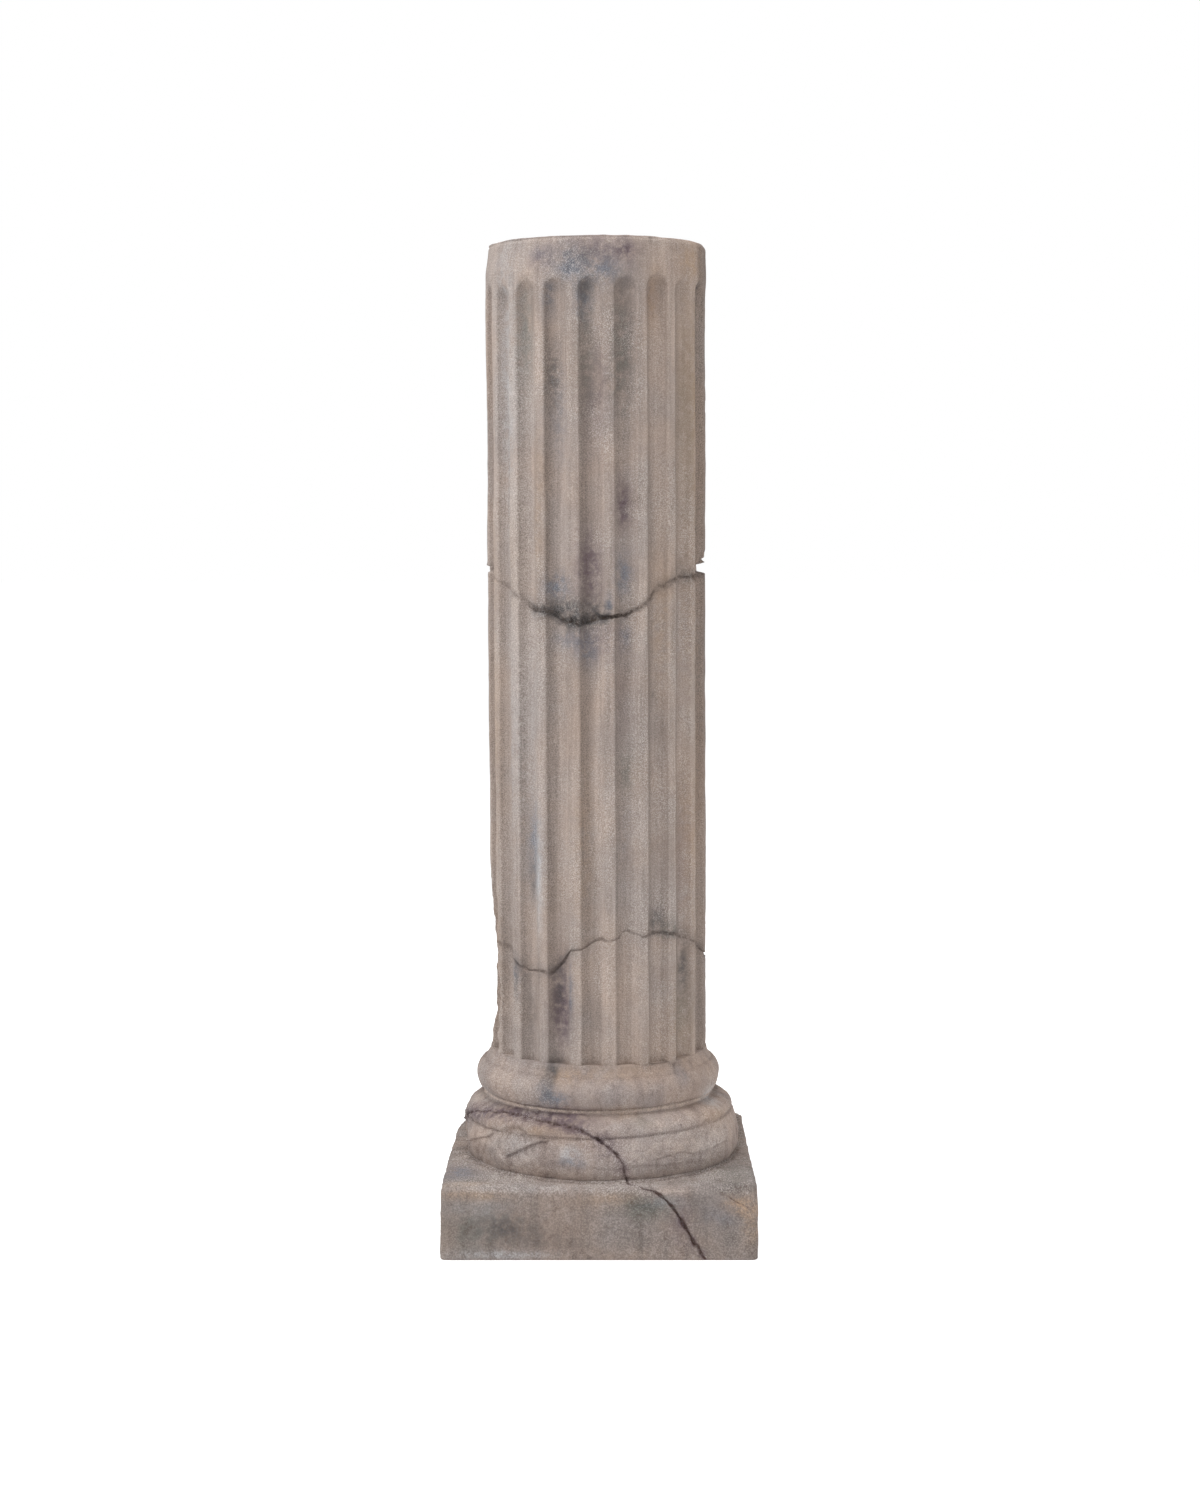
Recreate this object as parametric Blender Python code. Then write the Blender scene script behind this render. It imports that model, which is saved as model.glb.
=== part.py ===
"""A fluted column pedestal, cast in one piece to look like an old stone ruin.

Plinth, moulded base and shaft are a single casting, so the model is a single solid named column.
Metres, +Z up. The origin is the middle of the underside, and the front faces -Y.
An angle is seen from above, in degrees: 0 is the front, +90 the right-hand side (+X), 180 the back.
"""

import math
from typing import NamedTuple

import bmesh
import bpy
from mathutils import Vector

# Shaft. Its radius is the module: every moulding below stands out from it by a size of its own.
SHAFT_RADIUS = 0.1172
SHAFT_HEIGHT = 0.860
SHAFT_LEAN = 0.0037  # how far the middle of the top stands to the left of the foot
RIM_WEAR_ACROSS = 0.011
RIM_WEAR_DOWN = 0.008

# Flutes
FLUTE_COUNT = 20
FLUTE_DEPTH = 0.0075
FILLET_WIDTH = 0.0113
FLUTE_TOP_MARGIN = 0.0435  # plain band between the round flute heads and the rim
FRONT_FLUTE_ANGLE = -3.0

# Moulded base, from the plinth up
LOWER_TORUS_HEIGHT = 0.046
LOWER_TORUS_SWELL = 0.0323
LOWER_TORUS_FOOT_SWELL = 0.0263
LOWER_TORUS_BELLY = 0.0185  # height of its widest ring above the plinth
LOWER_TORUS_SHIFT = 0.0025  # how far its middle stands to the right of the plinth's
GROOVE_WIDTH = 0.004  # the groove between the lower torus and the cushion
GROOVE_DEPTH = 0.002
CUSHION_HEIGHT = 0.023
CUSHION_FOOT_SWELL = 0.0258
NECK_SWELL = 0.0063
UPPER_TORUS_HEIGHT = 0.047
UPPER_TORUS_SWELL = 0.0148
UPPER_TORUS_SEAT_SWELL = 0.0004  # flat ring that the shaft stands on

# Plinth
PLINTH_MARGIN = 0.0155
PLINTH_HEIGHT = 0.077
PLINTH_CORNER_RADIUS = 0.006
PLINTH_TOP_WEAR = 0.005
PLINTH_FOOT_WEAR = 0.002

# How finely the round stretches are divided
FLUTE_STEPS = 6
FLUTE_HEAD_STEPS = 4
FLUTE_HEAD_NARROWEST = 0.3  # share of the flute's width that the top of its head keeps
BASE_SIDES = 60
CURVE_STEPS = 4
TORUS_STEPS = 8
RIM_STEPS = 3
CORNER_STEPS = 2
CRACK_STEP_DEGREES = 9.0

SUNK = 0.006  # how deep one shape is set into the next before they are joined
CUTTER_LIFT = 0.006  # how far a crack's cutter stands proud of the surface
CRACK_FLOOR = 0.45  # width of a crack's floor as a share of its mouth
FLAKE_THICKNESS = 0.03
OVERCUT = 0.010  # how far the plinth's crack is cut past the underside

lower_torus_radius = SHAFT_RADIUS + LOWER_TORUS_SWELL
plinth_half = lower_torus_radius + PLINTH_MARGIN
groove_level = PLINTH_HEIGHT + LOWER_TORUS_HEIGHT
neck_level = groove_level + CUSHION_HEIGHT
shaft_foot = neck_level + UPPER_TORUS_HEIGHT
total_height = shaft_foot + SHAFT_HEIGHT


class Stop(NamedTuple):
    """A point that a crack passes: its place, and the size of the crack there."""

    angle: float  # degrees
    height: float  # share of the shaft's height, or of the moulded base's
    mouth: float
    depth: float  # below the floor of the flutes, or below the moulded base's surface


class PlinthStop(NamedTuple):
    """A point of the base crack on the plinth, as shares of the plinth's half width and height."""

    across: float
    out: float
    up: float
    normal: tuple
    mouth: float
    depth: float


class Flake(NamedTuple):
    """A flat scar where a flake broke off: a plane set `depth` inside the surface at one point."""

    name: str
    angle: float
    height: float  # share of the height of the stretch that it is on
    depth: float
    pitch: float  # degrees that the scar's plane leans back from upright
    width: float
    length: float  # share of the height of the stretch that it is on


class Worn(NamedTuple):
    """How deep the shaft's worn side is planed off at one height."""

    height: float  # share of the shaft's height
    depth: float


MIDDLE_CRACK = [
    Stop(-90, 0.603, 0.009, -0.0005),
    Stop(-66, 0.590, 0.006, 0.0025),
    Stop(-55, 0.576, 0.006, 0.0025),
    Stop(-45, 0.566, 0.007, 0.0035),
    Stop(-36, 0.557, 0.009, 0.0045),
    Stop(-27, 0.552, 0.009, 0.0045),
    Stop(-11, 0.538, 0.014, 0.0055),
    Stop(4, 0.541, 0.011, 0.0055),
    Stop(22, 0.558, 0.006, 0.0045),
    Stop(34, 0.579, 0.006, 0.0045),
    Stop(48, 0.593, 0.009, 0.0045),
    Stop(62, 0.595, 0.010, 0.0045),
    Stop(76, 0.598, 0.014, 0.0045),
    Stop(92, 0.608, 0.026, 0.0065),
    Stop(112, 0.614, 0.010, 0.0035),
    Stop(135, 0.635, 0.008, 0.0045),
    Stop(152, 0.629, 0.009, 0.0045),
    Stop(172, 0.647, 0.010, 0.0045),
    Stop(190, 0.638, 0.008, 0.0045),
    Stop(214, 0.649, 0.008, 0.0035),
    Stop(236, 0.623, 0.009, 0.0045),
    Stop(255, 0.615, 0.008, 0.0025),
]

LOWER_CRACK = [
    Stop(-88, 0.158, 0.007, 0.0065),
    Stop(-66, 0.145, 0.006, 0.0045),
    Stop(-50, 0.126, 0.006, 0.0035),
    Stop(-41, 0.115, 0.006, 0.0035),
    Stop(-27, 0.114, 0.007, 0.0035),
    Stop(-18, 0.134, 0.008, 0.0035),
    Stop(-9, 0.144, 0.006, 0.0025),
    Stop(2, 0.155, 0.005, 0.0025),
    Stop(16, 0.164, 0.004, 0.0025),
    Stop(24, 0.158, 0.004, 0.0025),
    Stop(45, 0.158, 0.006, 0.0035),
    Stop(67, 0.140, 0.006, 0.0035),
    Stop(82, 0.114, 0.009, 0.0025),
    Stop(104, 0.117, 0.006, 0.0025),
    Stop(126, 0.142, 0.006, 0.0035),
    Stop(150, 0.136, 0.006, 0.0025),
    Stop(171, 0.162, 0.007, 0.0035),
    Stop(196, 0.155, 0.006, 0.0025),
    Stop(221, 0.178, 0.006, 0.0035),
    Stop(247, 0.172, 0.007, 0.0035),
]

BASE_CRACK = [
    Stop(-112, 0.224, 0.006, 0.004),
    Stop(-91, 0.319, 0.009, 0.006),
    Stop(-68, 0.457, 0.007, 0.006),
    Stop(-48, 0.517, 0.005, 0.005),
    Stop(-28, 0.526, 0.007, 0.006),
    Stop(-15, 0.517, 0.008, 0.006),
    Stop(-7, 0.440, 0.007, 0.006),
    Stop(2, 0.328, 0.006, 0.006),
    Stop(8, 0.181, 0.005, 0.006),
    Stop(10, 0.069, 0.004, 0.005),
]

BASE_CRACK_ON_PLINTH = [
    PlinthStop(0.17, -0.87, 1.00, (0.0, -0.5, 0.9), 0.004, 0.004),
    PlinthStop(0.20, -0.91, 1.00, (0.0, -0.5, 0.9), 0.004, 0.004),
    PlinthStop(0.29, -1.00, 0.99, (0.0, -0.8, 0.6), 0.004, 0.004),
    PlinthStop(0.39, -1.00, 0.88, (0.0, -1.0, 0.0), 0.005, 0.006),
    PlinthStop(0.49, -1.00, 0.64, (0.0, -1.0, 0.0), 0.006, 0.007),
    PlinthStop(0.60, -1.00, 0.22, (0.0, -1.0, 0.0), 0.005, 0.007),
    PlinthStop(0.68, -1.00, -OVERCUT / PLINTH_HEIGHT, (0.0, -1.0, 0.0), 0.004, 0.005),
]

# The left side of the shaft is worn flat above the base
WORN_SIDE_ANGLE = -90
WORN_SIDE = [
    Worn(-0.005, 0.0022),
    Worn(0.033, 0.0030),
    Worn(0.049, 0.0072),
    Worn(0.065, 0.0062),
    Worn(0.081, 0.0082),
    Worn(0.126, 0.0088),
    Worn(0.142, 0.0050),
    Worn(0.186, 0.0020),
    Worn(0.238, -0.0010),
]

# Scars on the plain band under the rim, and on the lower torus
RIM_FLAKES = [
    Flake("rim_scar_right", 84, 1.0, 0.0058, 45.0, 0.12, 1.1),
    Flake("rim_scar_back", 158, 1.0, 0.0066, 40.0, 0.12, 1.1),
]

TORUS_FLAKES = [
    Flake("torus_scar_left", -56, 0.41, 0.0030, 0.0, 0.08, 0.78),
    Flake("torus_scar_front", -24, 0.41, 0.0020, 4.0, 0.07, 0.74),
    Flake("torus_scar_right", 46, 0.39, 0.0022, 2.0, 0.08, 0.70),
    Flake("torus_scar_back", 140, 0.41, 0.0030, 3.0, 0.08, 0.78),
]

# The plinth's front right corner is broken off along a plane. These are its points on the three edges
# that met there, as shares of the plinth's half width and height.
CORNER_SCAR_PLANE = [(0.76, -1.00, 1.00), (1.00, -1.00, 0.70), (1.00, -0.81, 1.00)]

STONE_COLOUR = (0.34, 0.28, 0.24, 1.0)
STONE_ROUGHNESS = 0.92
SHARP_ANGLE = 35  # degrees between two faces from which their edge is drawn sharp


def around(angle: float, radius: float, height: float) -> Vector:
    """Returns the point at an angle, a radius and a height round the upright axis."""
    turn = math.radians(angle)
    return Vector((radius * math.sin(turn), -radius * math.cos(turn), height))


def axis_at(height: float) -> Vector:
    """Returns how far the column's middle is off the plinth's middle at a height."""
    if height > shaft_foot:
        return Vector((-SHAFT_LEAN * (height - shaft_foot) / SHAFT_HEIGHT, 0, 0))
    rise = (height - PLINTH_HEIGHT) / (shaft_foot - PLINTH_HEIGHT)
    return Vector((LOWER_TORUS_SHIFT * (1 - max(0.0, rise)), 0, 0))


def new_object(name: str, bm: bmesh.types.BMesh) -> bpy.types.Object:
    """Makes a mesh object of a bmesh, with its faces pointing out, and frees the bmesh."""
    bmesh.ops.recalc_face_normals(bm, faces=bm.faces)
    mesh = bpy.data.meshes.new(name)
    bm.to_mesh(mesh)
    bm.free()
    made = bpy.data.objects.new(name, mesh)
    bpy.context.scene.collection.objects.link(made)
    return made


def helper(made: bpy.types.Object) -> bpy.types.Object:
    """Marks an object as one that only joins or cuts the column."""
    made.hide_render = True
    made.display_type = "WIRE"
    return made


def loft(bm: bmesh.types.BMesh, rings: list, closed: bool) -> None:
    """Skins rings of points, each with the same number, and caps the ends unless the rings close."""
    rows = [[bm.verts.new(point) for point in ring] for ring in rings]
    following = rows[1:] + rows[:1] if closed else rows[1:]
    for lower, upper in zip(rows, following):
        for i, corner in enumerate(lower):
            j = (i + 1) % len(lower)
            bm.faces.new((corner, lower[j], upper[j], upper[i]))
    if not closed:
        bm.faces.new(reversed(rows[0]))
        bm.faces.new(rows[-1])


def swell(start: tuple, end: tuple, widest_first: bool) -> list:
    """Returns (radius, height) points of a shallow arc that is upright at its widest end.

    Args:
        start: the lower end, as (radius, height).
        end: the upper end.
        widest_first: whether the arc is upright at its lower end.

    Returns:
        The points after the start, up to and with the end.
    """
    points = []
    for step in range(1, CURVE_STEPS + 1):
        share = step / CURVE_STEPS
        bend = share**2 if widest_first else 1 - (1 - share) ** 2
        radius = start[0] + (end[0] - start[0]) * bend
        points.append((radius, start[1] + (end[1] - start[1]) * share))
    return points


def base_profile() -> list:
    """Returns the moulded base's outline from the plinth up, as (radius, height) points."""
    foot = (SHAFT_RADIUS + LOWER_TORUS_FOOT_SWELL, PLINTH_HEIGHT)
    belly = (lower_torus_radius, PLINTH_HEIGHT + LOWER_TORUS_BELLY)
    torus_top = (SHAFT_RADIUS + CUSHION_FOOT_SWELL, groove_level - GROOVE_WIDTH / 2)
    groove = (torus_top[0] - GROOVE_DEPTH, groove_level)
    cushion_foot = (torus_top[0] - GROOVE_DEPTH / 4, groove_level + GROOVE_WIDTH / 2)
    neck = (SHAFT_RADIUS + NECK_SWELL, neck_level)
    outline = [foot]
    outline += swell(foot, belly, widest_first=False)
    outline += swell(belly, torus_top, widest_first=True)
    outline += [groove, cushion_foot]
    outline += swell(cushion_foot, neck, widest_first=True)
    seat = SHAFT_RADIUS + UPPER_TORUS_SEAT_SWELL
    reach = UPPER_TORUS_SWELL - UPPER_TORUS_SEAT_SWELL
    half = UPPER_TORUS_HEIGHT / 2
    lowest = -math.acos((NECK_SWELL - UPPER_TORUS_SEAT_SWELL) / reach)
    for step in range(TORUS_STEPS + 1):
        turn = lowest + (math.pi / 2 - lowest) * step / TORUS_STEPS
        outline.append((seat + reach * math.cos(turn), neck_level + half + half * math.sin(turn)))
    return outline


def base_radius(height: float) -> float:
    """Returns the moulded base's radius at a height."""
    outline = base_profile()
    for (low_radius, low), (high_radius, high) in zip(outline, outline[1:]):
        if low <= height <= high:
            share = (height - low) / max(high - low, 1e-9)
            return low_radius + (high_radius - low_radius) * share
    return outline[0][0] if height < outline[0][1] else SHAFT_RADIUS


def make_base() -> bpy.types.Object:
    """Turns the moulded base: lower torus, cushion, neck and upper torus."""
    outline = base_profile()
    outline.insert(0, (outline[0][0], PLINTH_HEIGHT - SUNK))
    step = 360.0 / BASE_SIDES
    bm = bmesh.new()
    rings = [[around(i * step, r, z) + axis_at(z) for i in range(BASE_SIDES)] for r, z in outline]
    loft(bm, rings, closed=False)
    return new_object("moulded_base", bm)


def make_plinth() -> bpy.types.Object:
    """Makes the square plinth with its worn edges."""
    bm = bmesh.new()
    bmesh.ops.create_cube(bm, size=1.0)
    bmesh.ops.scale(bm, verts=bm.verts, vec=(2 * plinth_half, 2 * plinth_half, PLINTH_HEIGHT))
    bmesh.ops.translate(bm, verts=bm.verts, vec=(0, 0, PLINTH_HEIGHT / 2))

    def round_off(edges: list, radius: float, segments: int) -> None:
        """Rounds edges off."""
        bmesh.ops.bevel(
            bm, geom=edges, offset=radius, segments=segments, affect="EDGES", profile=0.5
        )

    upright = [e for e in bm.edges if abs((e.verts[0].co - e.verts[1].co).z) > PLINTH_HEIGHT / 2]
    round_off(upright, PLINTH_CORNER_RADIUS, CORNER_STEPS)
    top = [e for e in bm.edges if min(v.co.z for v in e.verts) > PLINTH_HEIGHT / 2]
    round_off(top, PLINTH_TOP_WEAR, CORNER_STEPS)
    bottom = [e for e in bm.edges if max(v.co.z for v in e.verts) < PLINTH_HEIGHT / 4]
    round_off(bottom, PLINTH_FOOT_WEAR, 1)
    return new_object("column", bm)


def fluted_ring(height: float, opening: float) -> list:
    """Returns one ring of the shaft.

    Args:
        height: its height above the floor.
        opening: how far the flutes are open, from 0 in the plain band to 1 along the shaft.

    Returns:
        The ring's points, in order round the shaft.
    """
    pitch = 360.0 / FLUTE_COUNT
    half_width = (math.radians(pitch) * SHAFT_RADIUS - FILLET_WIDTH) / 2
    arc_radius = (half_width**2 + FLUTE_DEPTH**2) / (2 * FLUTE_DEPTH)
    half_angle = math.degrees(half_width / SHAFT_RADIUS)
    narrowing = max(opening, FLUTE_HEAD_NARROWEST)
    points = []
    for flute in range(FLUTE_COUNT):
        middle = FRONT_FLUTE_ANGLE + flute * pitch
        for step in range(FLUTE_STEPS + 1):
            share = 2 * step / FLUTE_STEPS - 1
            sagitta = math.sqrt(arc_radius**2 - (share * half_width) ** 2)
            depth = opening * max(0.0, sagitta - (arc_radius - FLUTE_DEPTH))
            angle = middle + share * half_angle * narrowing
            points.append(around(angle, SHAFT_RADIUS - depth, height) + axis_at(height))
    return points


def make_shaft() -> bpy.types.Object:
    """Makes the fluted shaft with round flute heads, a plain band and a worn rim."""
    pitch = math.radians(360.0 / FLUTE_COUNT)
    head_radius = (pitch * SHAFT_RADIUS - FILLET_WIDTH) / 2
    spring = total_height - FLUTE_TOP_MARGIN - head_radius
    rings = [fluted_ring(shaft_foot - SUNK, 1.0)]
    for step in range(FLUTE_HEAD_STEPS + 1):
        turn = math.pi / 2 * step / FLUTE_HEAD_STEPS
        rings.append(fluted_ring(spring + head_radius * math.sin(turn), math.cos(turn)))
    for step in range(RIM_STEPS + 1):
        turn = math.pi / 2 * step / RIM_STEPS
        height = total_height - RIM_WEAR_DOWN * (1 - math.sin(turn))
        share = 1 - RIM_WEAR_ACROSS * (1 - math.cos(turn)) / SHAFT_RADIUS
        middle = axis_at(height) + Vector((0, 0, height))
        rings.append([middle + (point - middle) * share for point in fluted_ring(height, 0.0)])
    bm = bmesh.new()
    loft(bm, rings, closed=False)
    return new_object("fluted_shaft", bm)


def crack_cutter(name: str, course: list, closed: bool) -> bpy.types.Object:
    """Makes the wedge that cuts a crack.

    Args:
        name: the object's name.
        course: (surface point, outward direction, mouth, depth) for each station.
        closed: whether the crack runs right round and meets itself.

    Returns:
        The cutter.
    """
    sections = []
    last = len(course) - 1
    for i, (point, outward, mouth, depth) in enumerate(course):
        before = course[i - 1][0] if closed or i > 0 else point
        after = course[(i + 1) % len(course)][0] if closed or i < last else point
        side = (after - before).cross(outward).normalized()
        floor = CRACK_FLOOR * mouth / 2
        crest = mouth / 2 + (mouth / 2 - floor) * CUTTER_LIFT / depth
        high = point + outward * CUTTER_LIFT
        low = point - outward * depth
        sections.append([high - side * crest, high + side * crest, low + side * floor, low - side * floor])
    bm = bmesh.new()
    loft(bm, sections, closed)
    return helper(new_object(name, bm))


def stations(stops: list, closed: bool) -> list:
    """Divides a crack's stops so that no step round the column is longer than CRACK_STEP_DEGREES."""
    ends = stops[1:]
    if closed:
        first = stops[0]
        ends = ends + [first._replace(angle=first.angle + 360)]
    divided = [stops[0]]
    for start, end in zip(stops, ends):
        steps = max(1, math.ceil(abs(end.angle - start.angle) / CRACK_STEP_DEGREES))
        for step in range(1, steps + 1):
            share = step / steps
            divided.append(Stop(*(a + (b - a) * share for a, b in zip(start, end))))
    return divided[:-1] if closed else divided


def shaft_crack(name: str, stops: list) -> bpy.types.Object:
    """Makes the cutter of a crack that runs round the shaft."""
    course = []
    for stop in stations(stops, closed=True):
        height = shaft_foot + stop.height * SHAFT_HEIGHT
        point = around(stop.angle, SHAFT_RADIUS, height) + axis_at(height)
        course.append((point, around(stop.angle, 1.0, 0.0), stop.mouth, FLUTE_DEPTH + stop.depth))
    return crack_cutter(name, course, closed=True)


def base_crack() -> bpy.types.Object:
    """Makes the cutter of the crack that crosses the base and runs down the plinth's front."""
    course = []
    for stop in stations(BASE_CRACK, closed=False):
        height = PLINTH_HEIGHT + stop.height * (shaft_foot - PLINTH_HEIGHT)
        point = around(stop.angle, base_radius(height), height) + axis_at(height)
        course.append((point, around(stop.angle, 1.0, 0.0), stop.mouth, stop.depth))
    for stop in BASE_CRACK_ON_PLINTH:
        point = Vector((stop.across * plinth_half, stop.out * plinth_half, stop.up * PLINTH_HEIGHT))
        course.append((point, Vector(stop.normal).normalized(), stop.mouth, stop.depth))
    return crack_cutter("base_crack", course, closed=False)


def flake_cutter(flake: Flake, foot: float, rise: float) -> bpy.types.Object:
    """Makes the block that cuts a flat scar.

    Args:
        flake: the scar.
        foot: the level of the foot of the stretch that the scar is on.
        rise: that stretch's height.

    Returns:
        The cutter, whose inner face is the scar's plane.
    """
    height = foot + flake.height * rise
    radius = SHAFT_RADIUS if height > shaft_foot else base_radius(height)
    surface = around(flake.angle, radius, height) + axis_at(height)
    pitch = math.radians(flake.pitch)
    outward = around(flake.angle, math.cos(pitch), math.sin(pitch))
    sideways = around(flake.angle + 90, 1.0, 0.0)
    upward = outward.cross(sideways)
    across = sideways * flake.width / 2
    along = upward * flake.length * rise / 2
    rings = []
    for layer in (-flake.depth, FLAKE_THICKNESS):
        middle = surface + outward * layer
        rings.append([middle + across * a + along * b for a, b in ((-1, -1), (1, -1), (1, 1), (-1, 1))])
    bm = bmesh.new()
    loft(bm, rings, closed=False)
    return helper(new_object(flake.name, bm))


def worn_side() -> bpy.types.Object:
    """Makes the block that planes off the worn side of the shaft, deeper at some heights than others."""
    outward = around(WORN_SIDE_ANGLE, 1.0, 0.0)
    across = around(WORN_SIDE_ANGLE + 90, SHAFT_RADIUS, 0.0)
    rings = []
    for height, depth in WORN_SIDE:
        level = Vector((0, 0, shaft_foot + height * SHAFT_HEIGHT))
        inner = level + outward * (SHAFT_RADIUS - depth)
        outer = level + outward * (SHAFT_RADIUS + FLAKE_THICKNESS)
        rings.append([inner - across, inner + across, outer + across, outer - across])
    bm = bmesh.new()
    loft(bm, rings, closed=False)
    return helper(new_object("worn_side", bm))


def corner_scar() -> bpy.types.Object:
    """Makes the block that breaks off the plinth's front right corner."""
    scale = Vector((plinth_half, plinth_half, PLINTH_HEIGHT))
    on_front, on_corner, on_side = (Vector(p) * scale for p in CORNER_SCAR_PLANE)
    middle = (on_front + on_corner + on_side) / 3
    outward = (on_corner - on_front).cross(on_side - on_front).normalized()
    along = (on_side - on_front).normalized() * plinth_half / 2
    upward = outward.cross(along)
    inner = [middle + along * a + upward * b for a, b in ((-1, -1), (1, -1), (1, 1), (-1, 1))]
    bm = bmesh.new()
    loft(bm, [inner, [point + outward * plinth_half / 2 for point in inner]], closed=False)
    return helper(new_object("corner_scar", bm))


def combine(target: bpy.types.Object, other: bpy.types.Object, operation: str) -> None:
    """Adds a Boolean modifier that joins another object to the target, or cuts it away."""
    modifier = target.modifiers.new(f"{operation.lower()} {other.name}", "BOOLEAN")
    modifier.operation = operation
    modifier.solver = "EXACT"
    modifier.object = other


def stone() -> bpy.types.Material:
    """Makes the weathered cast stone."""
    material = bpy.data.materials.new("weathered_cast_stone")
    material.use_nodes = True
    shader = material.node_tree.nodes["Principled BSDF"]
    shader.inputs["Base Color"].default_value = STONE_COLOUR
    shader.inputs["Roughness"].default_value = STONE_ROUGHNESS
    shader.inputs["Metallic"].default_value = 0.0
    return material


def main() -> None:
    """Builds the column: three shapes joined into one, then cracked and chipped."""
    for old in list(bpy.data.objects):
        bpy.data.objects.remove(old, do_unlink=True)
    column = make_plinth()
    for shape in (make_base(), make_shaft()):
        combine(column, helper(shape), "UNION")
    cutters = [worn_side(), corner_scar()]
    band_foot = total_height - FLUTE_TOP_MARGIN
    cutters += [flake_cutter(flake, band_foot, FLUTE_TOP_MARGIN) for flake in RIM_FLAKES]
    cutters += [flake_cutter(flake, PLINTH_HEIGHT, LOWER_TORUS_HEIGHT) for flake in TORUS_FLAKES]
    cutters += [shaft_crack("middle_crack", MIDDLE_CRACK), shaft_crack("lower_crack", LOWER_CRACK)]
    cutters.append(base_crack())
    for cutter in cutters:
        combine(column, cutter, "DIFFERENCE")
    column.data.materials.append(stone())
    column.data.shade_smooth()
    column.data.set_sharp_from_angle(angle=math.radians(SHARP_ANGLE))


if __name__ == "__main__":
    main()
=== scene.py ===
"""A weathered column pedestal of cast stone: square plinth, moulded base and fluted shaft.

Three closed skins stand for the frame's one casting, and meet at its natural lines.
Metres, +Z up, the front faces -Y. Angles are in degrees, seen from above: 0 is the front and
+90 the right-hand side.
"""

import logging
import math
from dataclasses import dataclass, field
from enum import Enum
from typing import ClassVar, NamedTuple

import bpy
import numpy as np
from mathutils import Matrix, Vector


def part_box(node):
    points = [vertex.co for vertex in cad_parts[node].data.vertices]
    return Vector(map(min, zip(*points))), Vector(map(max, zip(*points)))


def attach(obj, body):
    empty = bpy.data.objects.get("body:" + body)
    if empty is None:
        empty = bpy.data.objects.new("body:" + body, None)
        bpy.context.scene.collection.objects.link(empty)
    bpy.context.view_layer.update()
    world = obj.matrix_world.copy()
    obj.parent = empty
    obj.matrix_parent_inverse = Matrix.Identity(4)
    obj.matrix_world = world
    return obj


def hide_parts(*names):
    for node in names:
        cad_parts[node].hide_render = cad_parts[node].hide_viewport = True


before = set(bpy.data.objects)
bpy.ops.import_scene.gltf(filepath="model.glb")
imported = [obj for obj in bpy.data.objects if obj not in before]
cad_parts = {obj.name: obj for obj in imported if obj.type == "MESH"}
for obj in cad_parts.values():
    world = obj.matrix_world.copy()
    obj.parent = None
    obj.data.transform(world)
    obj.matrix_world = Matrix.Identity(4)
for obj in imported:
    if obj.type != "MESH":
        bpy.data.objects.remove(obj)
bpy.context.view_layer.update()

COLUMN_BOX = [[float(v) for v in corner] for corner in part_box("column")]
BODY = "root"
CAD_NODE = "column"

PLINTH_HEIGHT = 0.077
SHAFT_RADIUS = 0.1172
STAIN_RADIUS = 0.118  # where the middles of the round stains lie
BASE_MIDDLE_X = 0.0025  # the base's foot stands a little to the right of the plinth's middle
BASE_GAUGE = 0.145  # radius at which the base's surface is laid out flat

Values = float | np.ndarray
Place = tuple[float, float, float]
Colour = tuple[float, float, float, float]
Rows = list[tuple[float, ...]]
Kinds = dict[str, str]
Socket = bpy.types.NodeSocket
Sockets = bpy.types.bpy_prop_collection

log = logging.getLogger("column")


def around(angle: Values, radius: Values, height: Values) -> np.ndarray:
    """Places points at an angle, a radius and a height round the upright axis.

    Args:
        angle: degrees, a number or an array.
        radius: metres, a number or an array.
        height: metres, a number or an array.

    Returns:
        The points, with x, y and z along the last axis.
    """
    turn = np.radians(angle)
    parts = np.broadcast_arrays(radius * np.sin(turn), -radius * np.cos(turn), height)
    return np.stack(parts, axis=-1)


def smoothstep(value: Values, low: float, high: float) -> Values:
    """Returns 0 below low, 1 above high, and a smooth rise between them."""
    share = np.clip((value - low) / (high - low), 0.0, 1.0)
    return share * share * (3.0 - 2.0 * share)


def soft_positive(value: np.ndarray, softness: float) -> np.ndarray:
    """Returns the positive part of a value, with its corner at zero rounded over."""
    return (value + np.sqrt(value * value + softness * softness)) / 2.0


def bell(value: Values, centre: Values, spread: Values) -> Values:
    """Returns 1 at the centre, fading softly over the spread on both sides of it."""
    return np.exp(-(((value - centre) / spread) ** 2))


def placed(name: str, data: bpy.types.ID) -> bpy.types.Object:
    """Makes an object of a mesh, a lamp or a camera, and puts it in the scene.

    Args:
        name: the object's name.
        data: what it is made of.

    Returns:
        The object.
    """
    made = bpy.data.objects.new(name, data)
    bpy.context.scene.collection.objects.link(made)
    return made


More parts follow.
